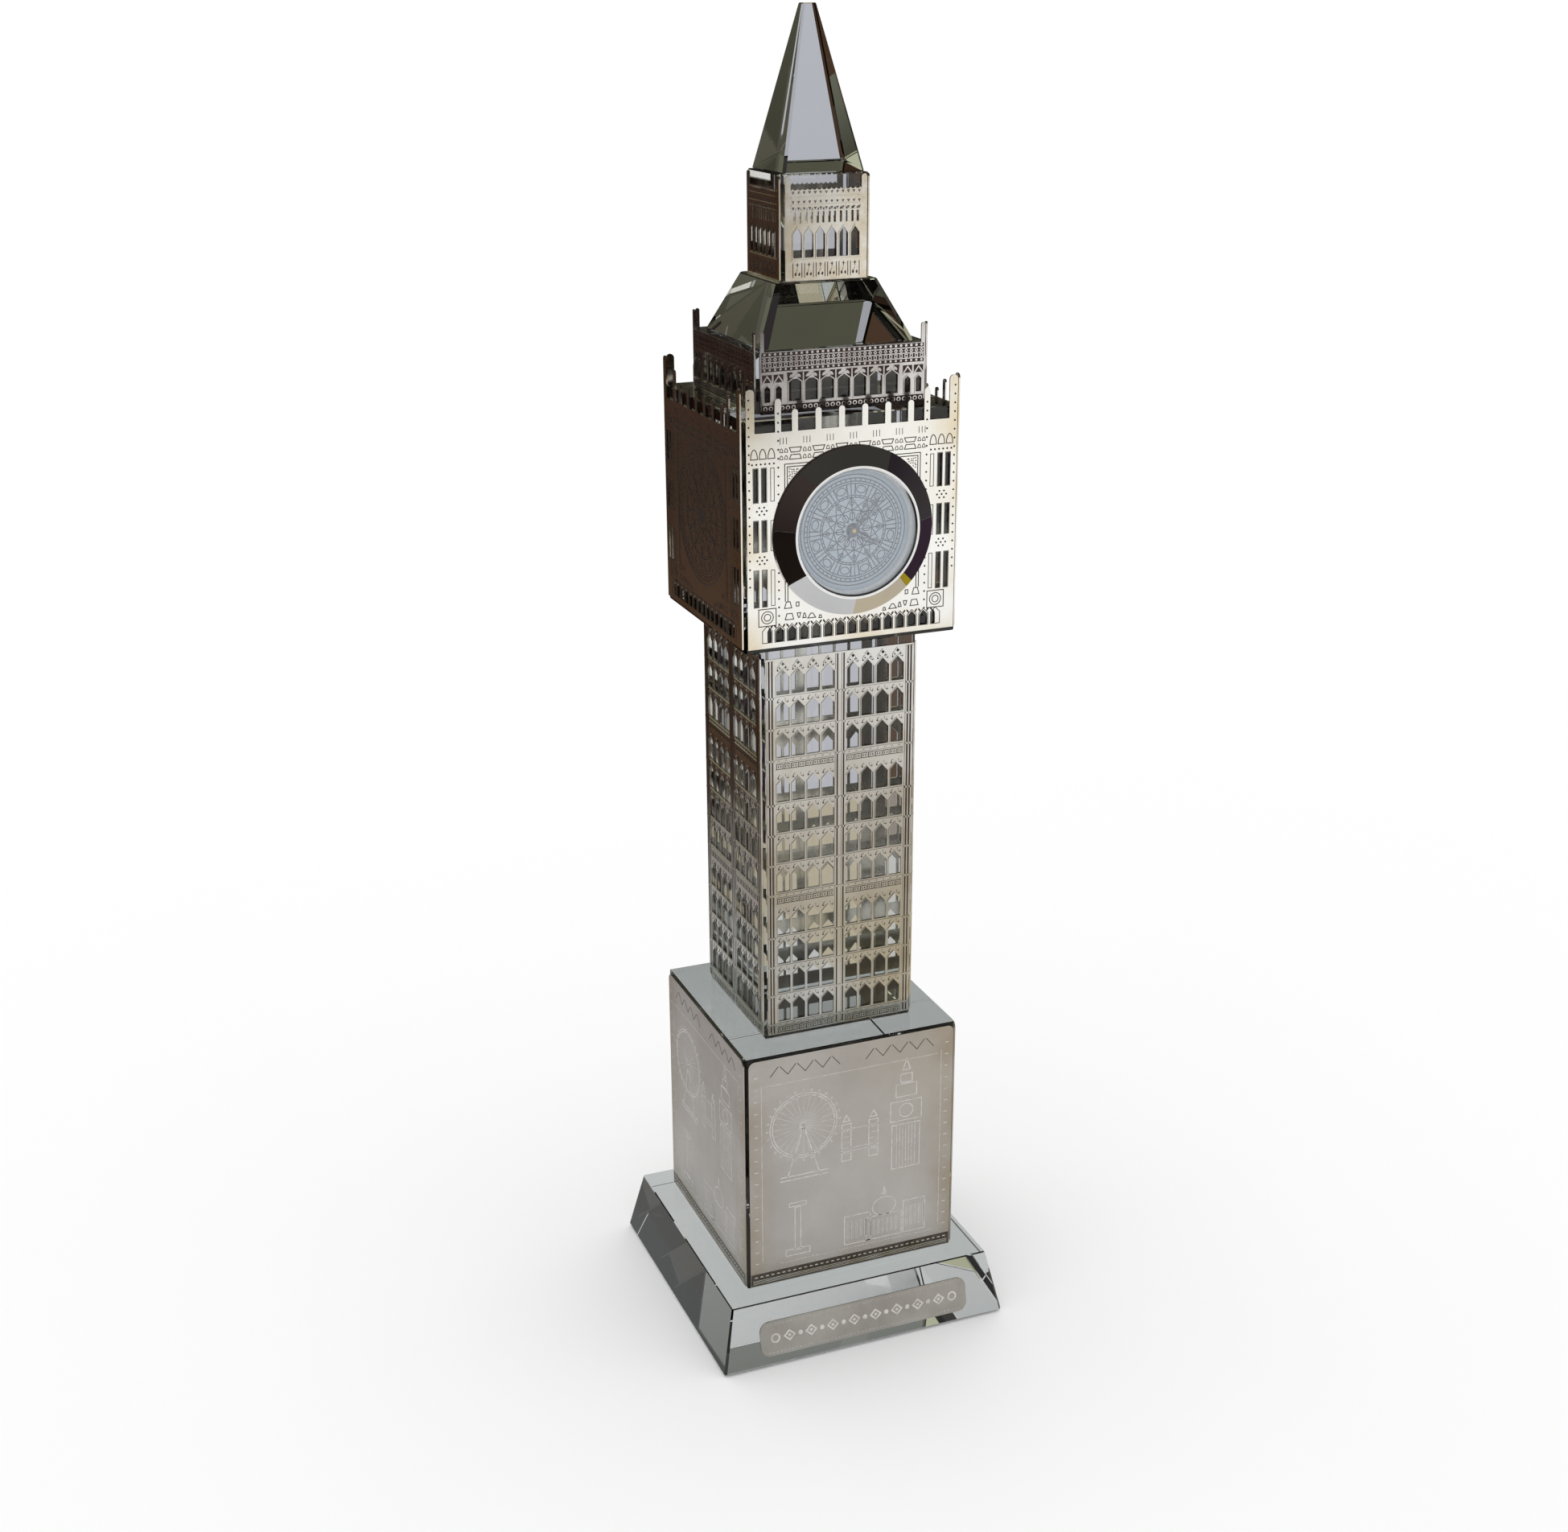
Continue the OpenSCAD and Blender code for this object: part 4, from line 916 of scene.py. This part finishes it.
stuck_on(pressed(beads, PROUD, "belfry_lattice"), "belfry", SIDES,
         finishes["plate_belfry"])
stuck_on(pressed(dark, INLAY, "belfry_grounds"), "belfry", SIDES,
         etched_ground_and_shade)

# %% [markdown]
# The lantern's plates are the smallest, and creamy. Their cornices are rows of
# small triangles between plain rails, each window has its frame, and under it
# stands a little crown. Triangles are circles with three corners, which turn
# and repeat as easily as any other primitive.

# %% The lantern's cornices and crowns
low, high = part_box("lantern_plate_front")
LANTERN_HALF = high.x / MM - 1.3
LANTERN_PITCH, LANCETS = 2.65, 6
first = -(LANCETS - 1) / 2 * LANTERN_PITCH
raised, dark = [], []
TEETH, TEETH_END, STUDS, STUDS_END = 13, LANTERN_HALF - 0.5, 15, LANTERN_HALF - 0.4
for v, w in ((18.35, 0.8), (16.4, 0.75), (15.1, 0.75)):
    dark.append(row(flat(-TEETH_END, v, w, w, 3, turn=180, line=0.13), TEETH,
                    2 * TEETH_END / (TEETH - 1)))
for v in (17.3, 15.7, 14.5):
    raised.append(flat(0, v, 2 * LANTERN_HALF, 0.3))
raised.append(row(flat(-STUDS_END, 18.75, 0.7, 0.7, 4), STUDS,
                  2 * STUDS_END / (STUDS - 1)))
raised.append(row(house(first, 4.65, 2.4, 6.8, 1.7, 0.2), LANCETS, LANTERN_PITCH))
crown = [flat(first, 3.35, 0.16, 0.9), flat(first, 3.45, 0.6, 0.16)]
for side in (-1, 1):
    crown.append(flat(first + side * 1.02, 2.3, 0.16, 3.0))
    crown.append(flat(first + side * 0.42, 1.5, 0.5, 0.8, 5))
dark.append(row(joined(crown), LANCETS, LANTERN_PITCH))
raised.append(row(flat(first, 2.0, 0.8, 1.4, 3), LANCETS, LANTERN_PITCH))
raised.append(flat(0, 4.4, 2 * LANTERN_HALF, 0.3))
stuck_on(pressed(raised, PROUD, "lantern_mouldings"), "lantern", SIDES,
         finishes["plate_lantern"])
stuck_on(pressed(dark, INLAY, "lantern_lines"), "lantern", SIDES,
         etched)

# %% [markdown]
# The lowest plates are satin, with a faint skyline of no real city: a big
# wheel, a clock tower, a bridge, a column and a dome. Such a picture is rubbed
# bright through a stencil, so its lines are only a shade lighter than the
# plate, and flat. They are drawn as outlines of simple shapes, because at this
# size nobody sees more than that.

# %% The pedestal's skyline
low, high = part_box("pedestal_plate_front")
PLATE_HALF, PLATE_H = high.x / MM, (high.z - low.z) / MM
THREAD = 0.22
faint = []
CABINS, HUB = 28, (-12.5, 41)
wheel = joined([
    ring(8.6, THREAD), ring(8.0, THREAD), ring(1.0, 0.3),
    round_the_middle(flat(0, 4.5, 0.09, 7.2), CABINS),
    round_the_middle(flat(0, 9.2, 0.55, 0.7, 6, line=0.12), CABINS)])
wheel.location = (HUB[0] * MM, HUB[1] * MM, 0)
bpy.ops.object.transform_apply()
faint.append(wheel)
for start, end in ((HUB, (-16.5, 28)), (HUB, (-8.5, 28)),
                   ((-18.5, 28), (-6, 28)), ((-18.5, 27), (-6, 27))):
    faint.append(stroke(start, end, 0.25))
for v, w, h in ((30, 7.5, 12), (39.5, 8.3, 5.4), (45, 5.6, 3.6), (48.2, 3.2, 2.4)):
    faint.append(flat(14, v, w, h, line=THREAD))
faint.append(flat(14, 39.5, 3.8, 3.8, 20, line=THREAD))
faint.append(flat(14, 51.4, 2.6, 4.6, 3, line=THREAD))
faint.append(row(flat(11.6, 30, 0.14, 11), 7, 0.8))
for u in (-1.5, 5.5):
    faint.append(flat(u, 34, 2.6, 10, line=THREAD))
    faint.append(flat(u, 40.2, 2.6, 2.6, 3, line=THREAD))
    faint.append(row(flat(u, 31, 1.6, 0.14), 5, 0, 1.5))
for v in (31.5, 32.4, 37.5):
    faint.append(flat(2, v, 9.6, 0.16))
faint.append(flat(-14, 13.5, 1.7, 12, line=THREAD))
faint.append(flat(-14, 20.2, 4.6, 1.2, line=THREAD))
faint.append(flat(-14, 7.2, 6.4, 1.8, line=THREAD))
for u, w, h in ((1.5, 7, 8), (8.5, 9.5, 6.5), (16.5, 6, 9)):
    faint.append(flat(u, 5.8 + h / 2, w, h, line=THREAD))
    faint.append(row(flat(u - w / 2 + 1, 5.8 + h / 2, 0.5, h * 0.6, line=0.1),
                     int(w / 1.2), 1.15))
faint.append(flat(8.5, 14.5, 6.4, 5.2, 20, line=THREAD))
faint.append(flat(8.5, 18.6, 1.2, 3.4, 3, line=THREAD))
faint.append(row(flat(-18, 4.9, 0.6, 0.16), 40, 1.0))
faint.append(flat(0, PLATE_H - 6.8, 2 * PLATE_HALF - 8, 0.12))
faint.append(both_halves(flat(PLATE_HALF - 3.1, PLATE_H / 2, 0.12, PLATE_H - 12)))
faint.append(both_halves(row(flat(PLATE_HALF - 1.7, 6, 0.9, 0.2), 17, 0, 3.1)))
stuck_on(pressed(faint, 0.02, "pedestal_skyline"), "pedestal", SIDES,
         bright_scratch)

# %% [markdown]
# What stands out on these plates is their border: two groups of dark teeth at
# the top, and along the foot a polished strip with light lines and a row of
# dashes. The strip mirrors the dark half of the room, and its own finish has
# that dark reflection painted into its brown base colour. Strip and dashes are
# two layers, the second thicker than the first.

# %% The pedestal's borders
TOOTH, TOOTH_H, TOOTH_FOOT, TOOTH_LINE, TIP_GAP = 4.4, 2.4, PLATE_H - 4.6, 0.17, 0.2
border = []
for start in (-20.8, 3.4):
    for k in range(4):
        u = start + k * TOOTH
        tip, tip_v = u + TOOTH / 2, TOOTH_FOOT + TOOTH_H
        border.append(stroke((u, TOOTH_FOOT), (tip - TIP_GAP, tip_v), TOOTH_LINE))
        border.append(stroke((tip + TIP_GAP, tip_v), (u + TOOTH, TOOTH_FOOT),
                             TOOTH_LINE))
stuck_on(pressed(border, 0.02, "pedestal_teeth"), "pedestal", SIDES,
         etched)
STRIP_H = 3.3
strip = [flat(0, STRIP_H / 2, 2 * PLATE_HALF - 0.3, STRIP_H - 0.2)]
stuck_on(pressed(strip, 0.02, "pedestal_strip"), "pedestal", SIDES,
         painted_dark_reflection)
DASHES, DASH_END = 36, PLATE_HALF - 1.4
dashes = [row(flat(-DASH_END, 2.3, 0.75, 0.28), DASHES,
              2 * DASH_END / (DASHES - 1))]
dashes += [flat(0, v, 2 * PLATE_HALF - 1.2, 0.13) for v in (0.55, 0.95, 1.35)]
stuck_on(pressed(dashes, 0.035, "pedestal_dashes"), "pedestal", SIDES,
         finishes["plate_lantern"])

# %% [markdown]
# A plaque is stuck on the sloping front of the glass foot. A real one carries
# a name. This one has a plain ornament instead, of lozenges and beads between
# two rings, in a slightly lighter satin. It is drawn flat like the plates, and
# three unit vectors (along, up the slope and outwards) lay it on the slope.

# %% The plaque's ornament
low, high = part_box("plinth_glass")
PLINTH_TOP = 66.5 * MM              # the foot's width at its upper edge
PLAQUE_UP, PLAQUE_FACE = 0.42, 0.4 * MM   # share of the slope, and height on it
ornament = [row(flat(-19.6, 0, 3.2, 2.9, 4, line=0.4), 8, 5.6),
            row(flat(-16.8, 0, 1.2, 1.2, 10), 7, 5.6),
            row(flat(-19.6, 0, 1.0, 0.9, 4), 8, 5.6)]
ornament.append(both_halves(flat(23.2, 0, 2.4, 2.4, 16, line=0.4)))
dots = [row(flat(-25, v, 0.28, 0.28, 6), 51, 1.0) for v in (-3.5, 3.5)]
ornament = pressed(ornament + dots, 0.03, "plaque_ornament")
plinth_h, plinth_run = high.z - low.z, (high.x - low.x - PLINTH_TOP) / 2
lean = math.atan2(plinth_run, plinth_h)
outward = Vector((0, -math.cos(lean), math.sin(lean)))
upslope = Vector((0, math.sin(lean), math.cos(lean)))
slope = math.hypot(plinth_h, plinth_run)
on_face = (Vector((0, low.y, 0)) + upslope * PLAQUE_UP * slope
           + outward * PLAQUE_FACE)
ornament.matrix_world = Matrix.Translation(on_face) @ Matrix(
    (Vector((1, 0, 0)), upslope, outward)).transposed().to_4x4()
only(ornament)
bpy.ops.object.transform_apply()
ornament.data.materials.append(bright_scratch)
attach(ornament, "tower")
print("plaque ornament at", [round(c / MM, 1) for c in on_face], "mm")

# %% Finish
import json
